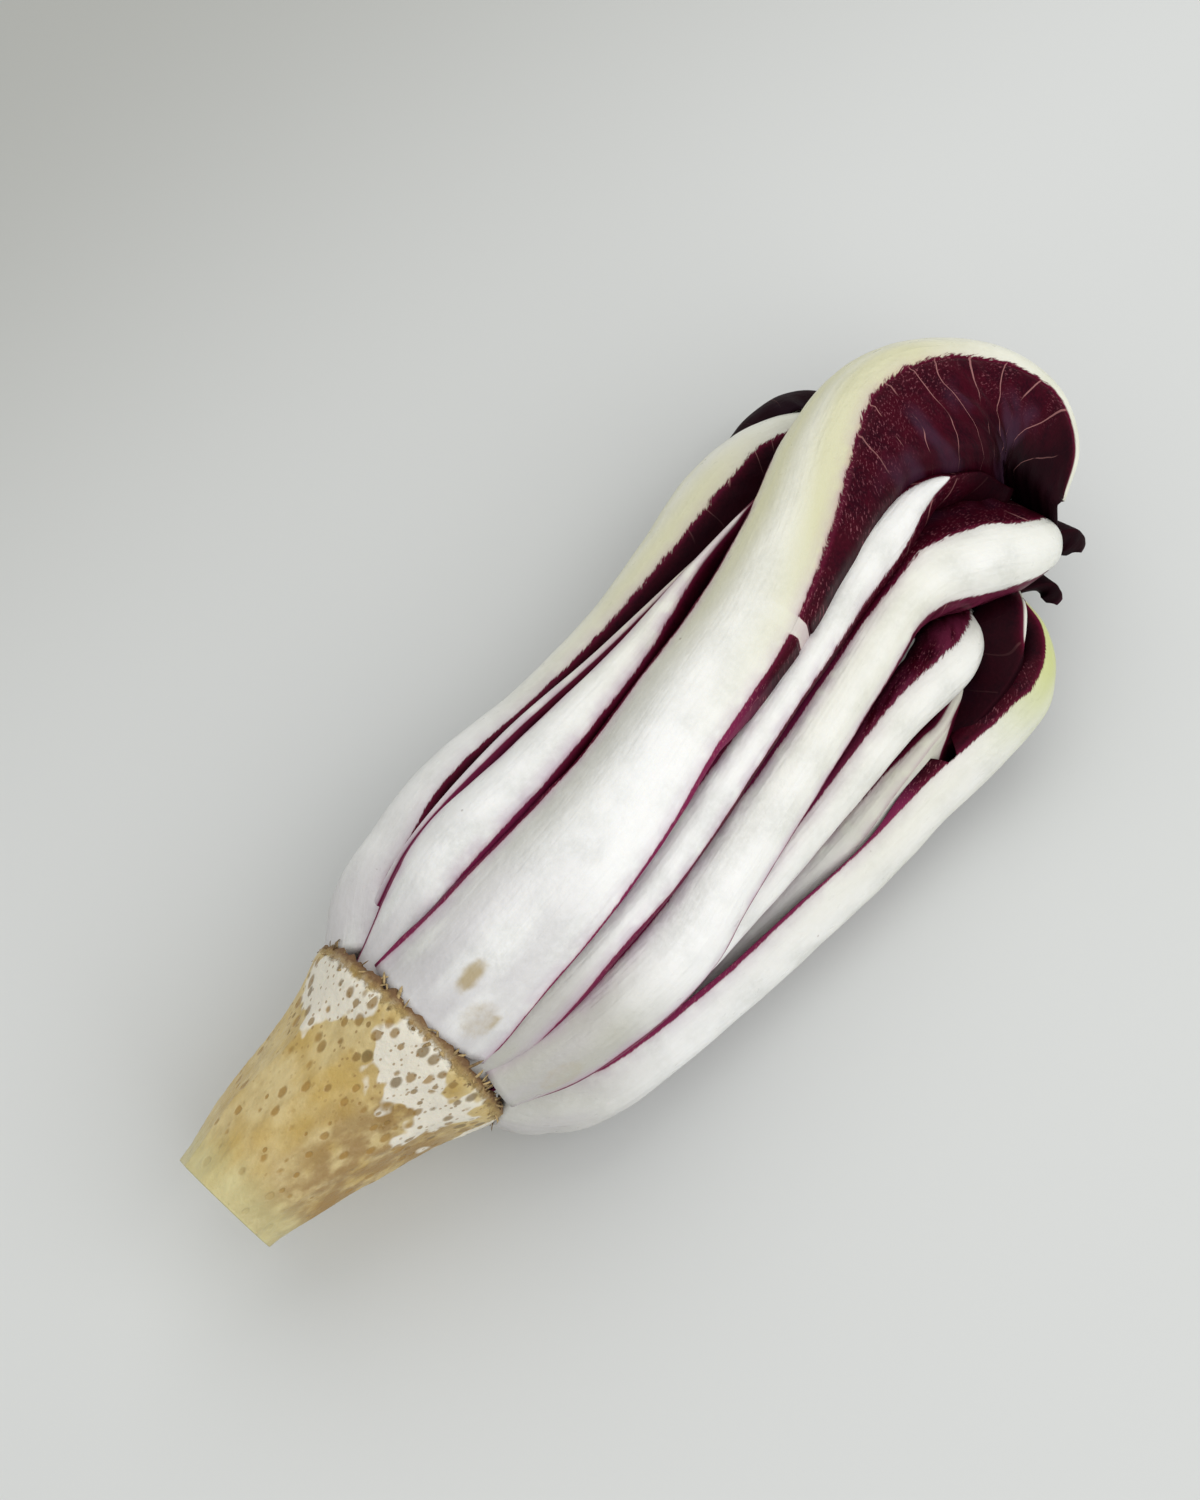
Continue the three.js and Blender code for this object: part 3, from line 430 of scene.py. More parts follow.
def half_leaf(name, leaf, t, along, side, seed):
    """One side of a leaf, crest to margin. The rib is an arc that turns by arch at its edge, and the
    blade goes on turning by curl over its width. Returns the outer points, their normals, the distances
    s from the crest and beyond the rib's edge, the share of the blade, and the depth of white flesh."""
    rows = np.asarray(leaf["rows"], float)
    row, out, right = facing(rows, t)
    half = np.maximum(row[:, 5], LEAST_WIDTH)[:, None]
    blade = np.maximum(row[:, 6 if side < 0 else 7], LEAST_WIDTH)[:, None]
    blade = blade * (1 + RAGGED_WIDTH * ripple(along, 0 * along, seed + 40 + 11 * side, 6, 9.0)[:, None])
    arch = math.radians(leaf["arch"])
    bend = math.radians(leaf["curl"][0 if side < 0 else 1]) / np.maximum(blade, 4.0)
    on_rib = np.linspace(0, 1, RIB_STEPS + 1)
    on_blade = np.linspace(0, 1, BLADE_STEPS + 1)[1:]
    left, flesh = (part[:, None] for part in torn_share(along, side, TEARS.get(name, [])))
    s = np.concatenate([half * on_rib, half + (0.02 + blade * left) * on_blade], 1)
    beyond = np.maximum(s - half, 0)
    angle = arch * np.minimum(s, half) / half + bend * beyond
    on_arc, radius = np.minimum(angle, arch), half / arch
    sideways = radius * np.sin(on_arc) + (np.sin(angle) - math.sin(arch)) / bend * (s > half)
    drop = radius * (1 - np.cos(on_arc)) + (math.cos(arch) - np.cos(angle)) / bend * (s > half)
    place = row[:, None, :3] + side * sideways[..., None] * right[:, None] - drop[..., None] * out[:, None]
    normal = np.cos(angle)[..., None] * out[:, None] + side * np.sin(angle)[..., None] * right[:, None]
    if (name, side) in MARGINS:
        margin = catmull(MARGINS[name, side], t)
        hold = np.clip(margin[:, 3], 0, 1)[:, None, None]
        start = math.cos(arch) * side * right - math.sin(arch) * out
        spread = stretched_blade(place[:, RIB_STEPS], start, margin[:, :3], on_blade)
        edge = place[:, RIB_STEPS:RIB_STEPS + 1]
        spread = edge + (spread - edge) * left[..., None]
        place[:, RIB_STEPS + 1:] += hold * (spread - place[:, RIB_STEPS + 1:])
        down = np.gradient(place, axis=1)
        fore = np.gradient(place, axis=0)
        turned = unit(np.cross(fore, down)) * side
        normal[:, RIB_STEPS + 1:] += hold * (turned - normal)[:, RIB_STEPS + 1:]
    return place, normal, s, beyond, beyond / blade, flesh * (beyond + 1.0)


def leaf_surfaces(name, leaf, seed):
    """Outer and inner surface of a leaf and the values its finish reads. The inner surface lies the
    local thickness under the outer one: full at the crest and as thin as paper in the blade. Slow
    ripples make both uneven, more so in the blade."""
    rows = np.asarray(leaf["rows"], float)
    hidden = "inner" in name or "belly" in name
    t, along = steps_along(rows, HIDDEN_STEPS if hidden else LONG_STEPS, TEARS.get(name, []))
    row = catmull(rows, t)
    half = np.maximum(row[:, 5], LEAST_WIDTH)[:, None]
    full = leaf["thick"] * np.minimum(1, half / 5 + 0.1)
    parts = []
    for side in (-1, 1):
        place, normal, s, beyond, share, flesh = half_leaf(name, leaf, t, along, side, seed)
        across = side * s
        lump = RIB_LUMPS * np.minimum(half / 6, 1) * ripple(along[:, None], 2.0 * across, seed + 3, 6, 15.0)
        ripples = ripple(along[:, None], across, seed + 60 + 7 * side, 5, 12.0)
        wave = BLADE_WAVES * np.minimum(beyond / 9, 1) * ripples
        place = place + (lump + wave)[..., None] * normal
        thick = np.maximum(full * (1 - RIB_THINNING * np.minimum(s / half, 1) ** 2), BLADE_THICK)
        pale, pale_to = PALE_BLADES.get((name, side), (0.0, 0.0))
        fading = smooth_step(pale_to - PALE_FADE, pale_to, along)[:, None]
        flesh = flesh + pale * (1 - fading) * (beyond > 0)
        parts.append([place, place - normal * thick[..., None], s - half - flesh, across, share])
    outer, inner, edge, across, share = (
        np.concatenate([minus[:, :0:-1], plus], 1) for minus, plus in zip(*parts)
    )
    outer[..., 2] = np.maximum(outer[..., 2], 0.0)
    inner[..., 2] = np.maximum(inner[..., 2], INNER_LOWEST)
    edge = edge + 2.5 * (1 - smooth_step(0.32, 0.5, half))
    cream, green, lilac = TINTS.get(name, USUAL_TINT)
    grey, rib_shade_left, rib_shade_foot = RIB_SHADES.get(name, USUAL_RIB_SHADE)
    rise = along[:, None] / along[-1]
    for side in (-1, 1):
        creep, up_to = FOOT_LINES.get((name, side), (0.0, 1.0))
        edge = edge + creep * (1 - smooth_step(0.6 * up_to, up_to, rise)) * (side * across > 0)
    bruise = np.zeros_like(edge)
    for at, off, length, width, strength, hollow in BRUISES.get(name, []):
        far = np.hypot((along[:, None] - at) / length, (across - off) / width)
        filled = 1 - hollow * (1 - smooth_step(0.45, 0.95, far))
        bruise += strength * (1 - smooth_step(0.55, 1.15, far)) * filled
    # depth is painted shade on the blades, and painted light where it is below 0
    shading_left, shading_right = BLADE_SHADING.get(name, INNER_BLADE_SHADE if "inner" in name else (0.0, 0.0))
    deep = np.where(across < 0, shading_left, shading_right)
    creamy = smooth_step(0.25, 0.62, rise) * (1 - 0.75 * smooth_step(0.68, 0.85, rise))
    at_left, at_foot = smooth_step(-0.15, 0.95, -across / half), 1 - smooth_step(0.06, 0.24, rise)
    values = dict(
        edge=edge, across=across, share=share, along=along[:, None] + PATTERN_SHIFT * seed,
        cream=cream * creamy, green=green * smooth_step(0.72, 0.92, rise),
        lilac=lilac * (1 - smooth_step(0.5, 0.9, rise)), fan=np.where(across < 0, row[:, 6:7], row[:, 7:8]),
        grey=grey + rib_shade_left * at_left + rib_shade_foot * at_foot, bruise=bruise, rise=rise, half=half,
        depth=deep + np.maximum(TIP_BLADE_SHADE - deep, 0) * smooth_step(0.88, 0.96, rise),
    )
    values = {key: np.broadcast_to(value, edge.shape) for key, value in values.items()}
    return outer, inner, values


def shell_faces(rows, cols):
    """Quads of two facing grids of rows by cols points, joined round their border into a closed shell."""
    o = np.arange(rows * cols).reshape(rows, cols)
    i = o + rows * cols

    def quads(a, b, c, d):
        """Quads from four grids of corner numbers."""
        return np.stack([a.ravel(), b.ravel(), c.ravel(), d.ravel()], 1)

    return np.concatenate([
        quads(o[:-1, :-1], o[:-1, 1:], o[1:, 1:], o[1:, :-1]),
        quads(i[:-1, :-1], i[1:, :-1], i[1:, 1:], i[:-1, 1:]),
        quads(o[:-1, 0], o[1:, 0], i[1:, 0], i[:-1, 0]),
        quads(o[1:, -1], o[:-1, -1], i[:-1, -1], i[1:, -1]),
        quads(o[0, 1:], o[0, :-1], i[0, :-1], i[0, 1:]),
        quads(o[-1, :-1], o[-1, 1:], i[-1, 1:], i[-1, :-1]),
    ])


def make_mesh(name, points, face_sets, values, material):
    """A smooth mesh object at the origin with its place in its points (metres). face_sets are arrays of
    corner numbers, one row a face, and values are float attributes at the points."""
    mesh = bpy.data.meshes.new(name)
    mesh.vertices.add(len(points))
    mesh.vertices.foreach_set("co", np.asarray(points, np.float32).ravel())
    corners = np.concatenate([faces.ravel() for faces in face_sets])
    sizes = np.concatenate([np.full(len(faces), faces.shape[1]) for faces in face_sets])
    mesh.loops.add(len(corners))
    mesh.loops.foreach_set("vertex_index", corners.astype(np.int32))
    mesh.polygons.add(len(sizes))
    mesh.polygons.foreach_set("loop_start", (np.cumsum(sizes) - sizes).astype(np.int32))
    mesh.polygons.foreach_set("use_smooth", np.ones(len(sizes), dtype=bool))
    mesh.update(calc_edges=True)
    for key, value in values.items():
        layer = mesh.attributes.new(key, "FLOAT", "POINT")
        layer.data.foreach_set("value", np.asarray(value, np.float32).ravel())
    mesh.materials.append(material)
    made = bpy.data.objects.new(name, mesh)
    bpy.context.scene.collection.objects.link(made)
    return made


def make_leaf(name, leaf, seed, rib_finish, blade_finish):
    """A leaf that stands for the CAD node of the same name, with the blade's finish past the rib."""
    outer, inner, values = leaf_surfaces(name, leaf, seed)
    rows, cols = outer.shape[:2]
    points = np.concatenate([outer.reshape(-1, 3), inner.reshape(-1, 3)])
    faces = shell_faces(rows, cols)
    doubled = {key: np.concatenate([value.ravel(), value.ravel()]) for key, value in values.items()}
    title = name.replace("leaf", "radicchio_leaf")
    piece = make_mesh(title, to_frame(points), [faces], doubled, rib_finish)
    piece.data.materials.append(blade_finish)
    past_rib = (doubled["edge"][faces].mean(1) > 0).astype(np.int32)
    piece.data.polygons.foreach_set("material_index", past_rib)
    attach(piece, "root")
    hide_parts(name)


# ------------------------------------------------------------------ root
# x, y, z of the middle and the radius of the stub, from its cut end to the collar
ROOT_PROFILE = np.array([
    (-41, 3.5, 24.5, 10.5), (-38.5, 3.5, 24.6, 10.9), (-33, 3.2, 24.8, 12.2), (-28, 3, 25, 13.4),
    (-21, 2.2, 25.5, 14.8), (-15, 1.5, 26, 16), (-10, 1, 26.4, 17.4), (-6, 0.5, 26.8, 18.9),
    (-2.5, 0.2, 27, 20.2), (0, 0, 27.1, 20.7),
])
ROOT_RADIUS = 15.0       # its mean radius, for the ripples round it, mm
ROOT_ROUND = 240         # mesh steps round the root
ROOT_LONG = 150          # mesh steps along it
PEEL_CUTS = 11           # flat cuts left by the knife round it
# rings of the cut end, from its middle: share of the end's radius and how far they stand in (mm)
CUT_END = [(0.03, 0.5), (0.4, 0.35), (0.75, 0.1), (0.93, -0.1)]
# rings that turn in under the leaves past the collar: share of its radius and distance along (mm)
COLLAR_TURN = [(0.965, 0.9), (0.9, 0.4), (0.7, -0.6), (0.35, -0.8), (0.03, -0.8)]


def root_rings():
    """The stub as rings along ROOT_PROFILE. A ring's radius is trimmed by flat knife cuts that wind
    slightly round the root, and roughened; its lip is ragged. Also how far each point lies past the
    collar (mm, negative on the stub), how much it belongs to the cut end and how far it faces right."""
    turn = np.linspace(0, 2 * np.pi, ROOT_ROUND, endpoint=False)[None, :]
    middle = catmull(ROOT_PROFILE, np.linspace(0, len(ROOT_PROFILE) - 1, ROOT_LONG))
    x, radius = middle[:, :1], middle[:, 3:4]
    arc, arch = ROOT_RADIUS * np.sin(turn), ROOT_RADIUS * np.cos(turn)
    wound = turn + 0.006 * x + 0.06 * ripple(x, arc, 5, 4, 30.0)
    cut = np.mod(wound * PEEL_CUTS / (2 * np.pi), 1.0) - 0.5
    flat = np.cos(np.pi / PEEL_CUTS) / np.cos(2 * np.pi / PEEL_CUTS * cut)
    trimmed = 1 - 0.9 * (1 - flat) * (1 - smooth_step(-9, -2, x))
    rough = 0.10 * ripple(1.6 * x + arch, 2.0 * arc, 9, 7, 6.0) + 0.14 * ripple(x + arch, arc, 2, 5, 16.0)
    reach = radius * trimmed + rough * smooth_step(-41, -38, x)
    lip = smooth_step(-3.0, 0.0, x)
    ragged = ripple(3.0 * arc + x, 3.0 * arch, 21, 7, 7.0) + 0.6 * ripple(7.0 * arc, 7.0 * arch, 22, 6, 9.0)
    reach = np.minimum(reach + lip * (0.25 * ragged - 0.15), COLLAR_RADIUS)
    sides = np.stack([
        x + 0.8 * lip * ragged,
        middle[:, 1:2] + reach * np.sin(turn),
        middle[:, 2:3] + reach * np.cos(turn),
    ], -1)
    hub, crown = ROOT_PROFILE[0, :3], np.array([0.0, 0.0, AXIS_HEIGHT])
    end = np.stack([hub + (sides[0] - hub) * size + [inward, 0, 0] for size, inward in CUT_END])
    under = np.stack([crown + (sides[-1] - crown) * size + [onward, 0, 0] for size, onward in COLLAR_TURN])
    rings = np.concatenate([end, sides, under])
    past = np.concatenate([np.full(len(end), -60.0), middle[:, 0], np.full(len(under), 1.0)])
    past = past[:, None] + 0.9 * ragged[-1]
    on_sides = 1 - smooth_step(-41, -39.6, middle[:, 0])
    cut_end = np.concatenate([np.ones(len(end)), on_sides, np.zeros(len(under))])
    return rings, past, cut_end[:, None] + 0 * turn, -np.sin(turn) + 0 * past


def make_root(material):
    """The stub: its rings joined in quads, with a small face closing each end."""
    rings, past, cut_end, side = root_rings()
    rows, cols = rings.shape[:2]
    index = np.arange(rows * cols).reshape(rows, cols)
    after = np.roll(index, -1, 1)
    sides = np.stack([index[:-1], index[1:], after[1:], after[:-1]], -1).reshape(-1, 4)
    ends = [index[:1], index[-1:, ::-1]]
    values = dict(past=past, cut_end=cut_end, side=side)
    piece = make_mesh("radicchio_root", to_frame(rings.reshape(-1, 3)), [sides, *ends], values, material)
    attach(piece, "root")
    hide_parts("root_stub")


FLAKES = 260             # dry scraps standing round the collar
FLAKE_STEPS = 6          # rings along a scrap
FLAKE_SIDES = 5          # sides of a scrap
FLAKE_REACH = 0.7        # how far a scrap may stand out past the collar, mm
FLAKE_SINK = 0.75        # how deep in the collar it begins, mm


def make_collar(material):
    """Dry fibrous scraps round the collar. Each is a flat spindle: rings whose half width falls to a
    point, along a line that leaves the collar at a seeded slant and curls back."""
    rng = np.random.default_rng(17)
    turn = rng.uniform(0, 2 * np.pi, FLAKES)
    length = rng.uniform(0.8, 2.6, FLAKES) * rng.choice([1.0, 1.5], FLAKES, p=[0.8, 0.2])
    width = rng.uniform(0.18, 0.55, FLAKES)
    radial = np.stack([0 * turn, np.sin(turn), np.cos(turn)], 1)
    round_about = np.stack([0 * turn, np.cos(turn), -np.sin(turn)], 1)
    start_x = rng.uniform(-1.6, 0.7, FLAKES)
    deep = COLLAR_RADIUS - FLAKE_SINK - 0.12 * np.abs(start_x)
    base = np.array([0, 0, COLLAR_HEIGHT]) + radial * deep[:, None]
    base[:, 0] += start_x
    slant = rng.uniform(-1.1, 1.1, FLAKES)
    rise = rng.uniform(0.1, 0.75, FLAKES)
    heading = np.stack([np.cos(slant), 0 * slant, 0 * slant], 1) + np.sin(slant)[:, None] * round_about
    onward = rng.choice([1, -0.4], FLAKES, p=[0.75, 0.25])
    heading = unit(heading * onward[:, None] + rise[:, None] * radial)
    crosswise = unit(np.cross(heading, radial))
    lift = np.cross(crosswise, heading)
    v = np.linspace(0, 1, FLAKE_STEPS)[None, :, None, None]
    ring = np.linspace(0, 2 * np.pi, FLAKE_SIDES, endpoint=False)[None, None, :, None]
    spread = np.maximum(np.sqrt(np.maximum(1 - v, 0)) * (0.6 + 0.8 * v), 0.04)

    def each(values):
        """One vector for every scrap, spread over its rings and sides."""
        return values[:, None, None, :]

    line = each(base) + each(heading) * (length[:, None, None, None] * v)
    line = line + each(radial) * ((rng.uniform(-0.5, 0.1, FLAKES) * length)[:, None, None, None] * v**2)
    size = width[:, None, None, None] * spread
    points = line + size * np.cos(ring) * each(crosswise) + 0.3 * size * np.sin(ring) * each(lift)
    outward = points - np.array([0, 0, COLLAR_HEIGHT])
    radius = np.linalg.norm(outward[..., 1:], axis=-1, keepdims=True)
    fit = np.minimum(1, (COLLAR_RADIUS + FLAKE_REACH) / radius)
    points[..., 1:] = np.array([0, COLLAR_HEIGHT]) + outward[..., 1:] * fit
    index = np.arange(FLAKES * FLAKE_STEPS * FLAKE_SIDES).reshape(FLAKES, FLAKE_STEPS, FLAKE_SIDES)
    after = np.roll(index, -1, 2)
    sides = np.stack([index[:, :-1], index[:, 1:], after[:, 1:], after[:, :-1]], -1).reshape(-1, 4)
    ends = [index[:, 0], index[:, -1, ::-1]]
    tone = np.repeat(rng.uniform(0, 1, FLAKES), FLAKE_STEPS * FLAKE_SIDES)
    points = to_frame(points.reshape(-1, 3))
    piece = make_mesh("radicchio_collar_scraps", points, [sides, *ends], dict(tone=tone), material)
    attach(piece, "root")


# ------------------------------------------------------------------ finishes
def rgb(red, green, blue):
    """A colour written as it looks on screen, 0 to 255, turned into linear light."""
    parts = np.array([red, green, blue]) / 255
    linear = np.where(parts <= 0.04045, parts / 12.92, ((parts + 0.055) / 1.055) ** 2.4)
    return (*linear.tolist(), 1.0)


def feed(tree, socket, value):
    """Links an input to another node's output, or sets it to a plain value."""
    if isinstance(value, bpy.types.NodeSocket):
        tree.links.new(value, socket)
    else:
        socket.default_value = value


def fill(tree, made, inputs):
    """Feeds the inputs of a node, given by name or number."""
    for key, value in inputs.items():
        feed(tree, made.inputs[key], value)


def node(tree, kind, inputs=None, **settings):
    """A new node with its settings and its inputs."""
    made = tree.nodes.new(kind)
    for key, value in settings.items():
        setattr(made, key, value)
    fill(tree, made, inputs or {})
    return made


def calc(tree, operation, *values):
    """One step of arithmetic."""
    return node(tree, "ShaderNodeMath", dict(enumerate(values)), operation=operation).outputs[0]


def centred(tree, value):
    """Noise between 0 and 1 moved to lie between -0.5 and 0.5."""
    return calc(tree, "SUBTRACT", value, 0.5)


def ease(tree, value, low, high):
    """0 below low, 1 above high and a smooth step in between."""
    inputs = {"Value": value, "From Min": low, "From Max": high}
    return node(tree, "ShaderNodeMapRange", inputs, interpolation_type="SMOOTHSTEP").outputs[0]


def blend(tree, factor, first, second):
    """The first colour turning into the second as factor goes from 0 to 1."""
    made = node(tree, "ShaderNodeMix", data_type="RGBA")
    for key, kind, value in (("Factor", "VALUE", factor), ("A", "RGBA", first), ("B", "RGBA", second)):
        feed(tree, next(s for s in made.inputs if (s.name, s.type) == (key, kind)), value)
    return next(s for s in made.outputs if s.type == "RGBA")


def chained(tree):
    """Three functions for a tree: the product and the sum of any number of values, and a screen colour
    laid over another one by the product of any number of shares."""
    def times(first, *others):
        for value in others:
            first = calc(tree, "MULTIPLY", first, value)
        return first

    def plus(first, *others):
        for value in others:
            first = calc(tree, "ADD", first, value)
        return first

    def over(base, colour, *shares):
        return blend(tree, times(*shares), base, rgb(*colour))

    return times, plus, over


def place(tree, x, y, z=0.0):
    """Three numbers as a vector."""
    return node(tree, "ShaderNodeCombineXYZ", {"X": x, "Y": y, "Z": z}).outputs[0]


def noise(tree, where, scale, detail=3.0, rough=0.5):
    """Cloudy noise from 0 to 1 at a place."""
    inputs = {"Vector": where, "Scale": scale, "Detail": detail, "Roughness": rough}
    return node(tree, "ShaderNodeTexNoise", inputs).outputs[0]


def relief(tree, height, strength, depth):
    """The normal of a surface raised by height times depth (metres)."""
    inputs = {"Height": height, "Strength": strength, "Distance": depth}
    return node(tree, "ShaderNodeBump", inputs).outputs[0]


def attribute(tree, name):
    """A float attribute of the piece's own points."""
    return node(tree, "ShaderNodeAttribute", attribute_name=name).outputs["Fac"]


def own_place(tree):
    """A point's place in the piece, which is its place in the frame (metres)."""
    return node(tree, "ShaderNodeTexCoord").outputs["Object"]


def new_group(name, inputs, outputs):
    """An empty node group. inputs and outputs map each socket's name to float, colour or vector."""
    kinds = dict(float="NodeSocketFloat", colour="NodeSocketColor", vector="NodeSocketVector")
    tree = bpy.data.node_groups.new(name, "ShaderNodeTree")
    for way, sockets in (("INPUT", inputs), ("OUTPUT", outputs)):
        for key, kind in sockets.items():
            tree.interface.new_socket(key, in_out=way, socket_type=kinds[kind])
    source = tree.nodes.new("NodeGroupInput").outputs
    target = tree.nodes.new("NodeGroupOutput").inputs
    return tree, source, target


def finish_group(tree, target, **results):
    """Links each result to the group's output of that name."""
    for key, socket in results.items():
        tree.links.new(socket, target[key])


def use_group(tree, group, inputs):
    """The outputs of the group, placed in a tree with its own inputs."""
    return node(tree, "ShaderNodeGroup", inputs, node_tree=group).outputs


def mottle_group():
    """Uneven tone: a colour shifted towards a second one in soft patches and a third in fine grain.
    Each share is a smooth step of noise at its Scale, times its Amount."""
    kinds = {
        "Place": "vector", "Colour": "colour", "Patch Colour": "colour", "Grain Colour": "colour",
        "Patch Scale": "float", "Grain Scale": "float", "Patch Amount": "float", "Grain Amount": "float",
    }
    tree, source, target = new_group("mottle", kinds, {"Colour": "colour"})
    colour = source["Colour"]
    steps = {"Patch": (2.0, 0.5, 0.38, 0.68), "Grain": (4.0, 0.6, 0.35, 0.75)}
    for part, (detail, rough, low, high) in steps.items():
        tone = noise(tree, source["Place"], source[f"{part} Scale"], detail, rough)
        share = calc(tree, "MULTIPLY", ease(tree, tone, low, high), source[f"{part} Amount"])
        colour = blend(tree, share, colour, source[f"{part} Colour"])
    finish_group(tree, target, Colour=colour)
    return tree


# veins: how far noise bends them to and fro (mm), and their half width at the margin and what it
# gains towards the rib, as shares of their spacing
VEIN_BEND = 16.0
VEIN_WIDTH = 0.006
VEIN_SWELL = 0.018


def vein_group():
    """Pale veins that run out from the rib across a blade. Each keeps to a line of along minus Slant
    times the distance beyond the rib; lines are Spacing apart, bent by noise, and fade at both ends."""
    kinds = ("Along", "Edge", "Share", "Spacing", "Slant")
    tree, source, target = new_group("blade_veins", dict.fromkeys(kinds, "float"), {"Vein": "float"})
    along, edge, share, spacing, slant = (source[kind] for kind in kinds)
    times, plus, _ = chained(tree)
    bend = noise(tree, place(tree, times(along, 0.05), times(edge, 0.05)), 1.0, 1.0)
    line = calc(tree, "SUBTRACT", along, times(slant, edge))
    line = plus(line, times(centred(tree, bend), VEIN_BEND))
    off = calc(tree, "PINGPONG", calc(tree, "DIVIDE", line, spacing), 0.5)
    width = plus(times(ease(tree, share, 1.0, 0.0), VEIN_SWELL), VEIN_WIDTH)
    vein = ease(tree, calc(tree, "DIVIDE", off, width), 1.3, 0.5)
    broken = noise(tree, place(tree, times(along, 0.2), times(edge, 0.06)), 1.0, 2.0)
    ends = times(ease(tree, share, 0.0, 0.04), ease(tree, share, 0.92, 0.6))
    finish_group(tree, target, Vein=times(vein, ease(tree, broken, 0.42, 0.52), ends))
    return tree


def new_material(name):
    """A material, its node tree and its one principled shader."""
    material = bpy.data.materials.new(name)
    material.use_nodes = True
    tree = material.node_tree
    shader = next(n for n in tree.nodes if n.type == "BSDF_PRINCIPLED")
    return material, tree, shader


LEAF_VALUES = (
    "edge", "across", "share", "along", "half", "cream", "green", "lilac", "grey", "fan", "bruise",
    "rise", "depth",
)


def leaf_skin_group(mottle, veins):
    """The skin of a leaf: white rib and crimson blade. The two meet at the rib's edge, where streaks
    that run along the leaf feather the crimson into the white; wide blades feather more."""
    results = {"Colour": "colour", "Gloss": "float", "Height": "float"}
    tree, source, target = new_group("leaf_skin", dict.fromkeys(LEAF_VALUES, "float"), results)
    edge, across, share, along, half, cream, green, lilac, grey, fan, bruise, rise, depth = (
        source[value] for value in LEAF_VALUES
    )
    times, plus, over = chained(tree)
    wide = ease(tree, fan, 1.5, 9.0)
    surface = place(tree, along, across)

    def streaks(by_along, by_across, detail=3.0, rough=0.5, slant=0.0, scale=1.0):
        """Noise over along and across times these factors, slanted by slant times along."""
        aside = times(across, by_across)
        if slant:
            aside = plus(aside, times(along, slant))
        return noise(tree, place(tree, times(along, by_along), aside), scale, detail, rough)

    # fibres: fine short streaks that leave the rib at a slant, in clumps; narrow ribs have less
    fibre = streaks(0.55, 2.6, 4.0, 0.65, slant=1.1)
    clump = noise(tree, surface, 0.22, 2.0)
    shift = plus(times(centred(tree, fibre), 2.4), times(centred(tree, clump), 1.6))
    reach = times(plus(times(wide, 0.75), 0.2), ease(tree, half, 0.4, 3.6))
    red_edge = plus(edge, times(shift, reach))
    red = ease(tree, red_edge, -0.10, plus(times(wide, 0.25), 0.16))

    # rib: milky white, greyer in soft patches, cream above and green at the tip
    rib = use_group(tree, mottle, {
        "Place": surface, "Colour": rgb(245, 245, 242), "Patch Colour": rgb(222, 223, 219),
        "Grain Colour": rgb(250, 250, 248), "Patch Scale": 0.09, "Grain Scale": 0.8,
        "Patch Amount": 0.8, "Grain Amount": 0.5,
    })["Colour"]
    fine = streaks(0.05, 1.0, scale=1.6)
    rib = over(rib, (208, 210, 203), ease(tree, fine, 0.5, 0.8), 0.14)
    # painted shade: the grey value greys the rib in soft clumps
    rib = over(rib, (190, 189, 178), grey, plus(times(clump, 0.5), 0.6))
    side_on = ease(tree, calc(tree, "ABSOLUTE", plus(edge, 1.5)), 7.0, 0.5)
    rib = over(rib, (218, 216, 180), cream, plus(times(side_on, 0.55), 0.4))
    rib = over(rib, (200, 206, 136), green, plus(times(side_on, 0.45), 0.5))
    # painted shade: a greyer foot where the leaves crowd together, and beside the crimson line lilac that
    # is partly the rib's own tint and partly painted shade in the groove by the next leaf
    slow = ease(tree, streaks(0.05, 0.13, 2.0), 0.32, 0.62)
    rib = over(rib, (194, 190, 192), ease(tree, rise, 0.24, 0.02), 0.62, slow)
    rib = over(rib, (186, 160, 182), ease(tree, edge, -3.2, 0.3), lilac, ease(tree, clump, 0.25, 0.6), 0.6)
    rib = over(rib, (172, 84, 124), ease(tree, edge, -0.9, 0.1), lilac, plus(times(fibre, 0.8), 0.1), 0.75)
    # bruises with an uneven rim, and a few small nicks
    uneven = times(centred(tree, noise(tree, surface, 0.9, 3.0)), 0.35)
    rib = over(rib, (178, 158, 112), ease(tree, plus(bruise, uneven), 0.12, 0.85), 0.85)
    nick = node(tree, "ShaderNodeTexVoronoi", {"Vector": surface, "Scale": 0.11}).outputs["Distance"]
    rib = over(rib, (128, 104, 88), ease(tree, nick, 0.045, 0.02), 0.5)

    # blade: deep crimson, brighter by the rib and near black further out, partly its own colour and partly
    # painted shade where blades turn down between leaves; painted shade, near black, in the hollow of a
    # wide blade's hooked end
    blade = use_group(tree, mottle, {
        "Place": surface, "Colour": rgb(58, 4, 20), "Patch Colour": rgb(36, 3, 16),
        "Grain Colour": rgb(78, 10, 30), "Patch Scale": 0.22, "Grain Scale": 1.5,
        "Patch Amount": 0.9, "Grain Amount": 0.5,
    })["Colour"]
    blade = over(blade, (116, 26, 58), ease(tree, edge, 1.4, -0.1), 0.6)
    blade = over(blade, (28, 6, 15), ease(tree, share, 0.45, 1.0), 0.6)
    painted_hollow_shade = times(ease(tree, share, 0.3, 0.8), ease(tree, rise, 0.68, 0.82), ease(tree, fan, 12.0, 20.0))
    blade = over(blade, (12, 2, 5), painted_hollow_shade, 0.9)
    # a blade that is still narrow is pinker, and a wide one has a greyish painted sheen in soft patches
    blade = over(blade, (134, 42, 84), ease(tree, fan, 3.0, 1.6), 0.75)
    painted_sheen = ease(tree, noise(tree, surface, 0.07, 2.0), 0.46, 0.62)
    blade = over(blade, (72, 46, 66), ease(tree, edge, 4.0, 9.0), painted_sheen, 0.5)
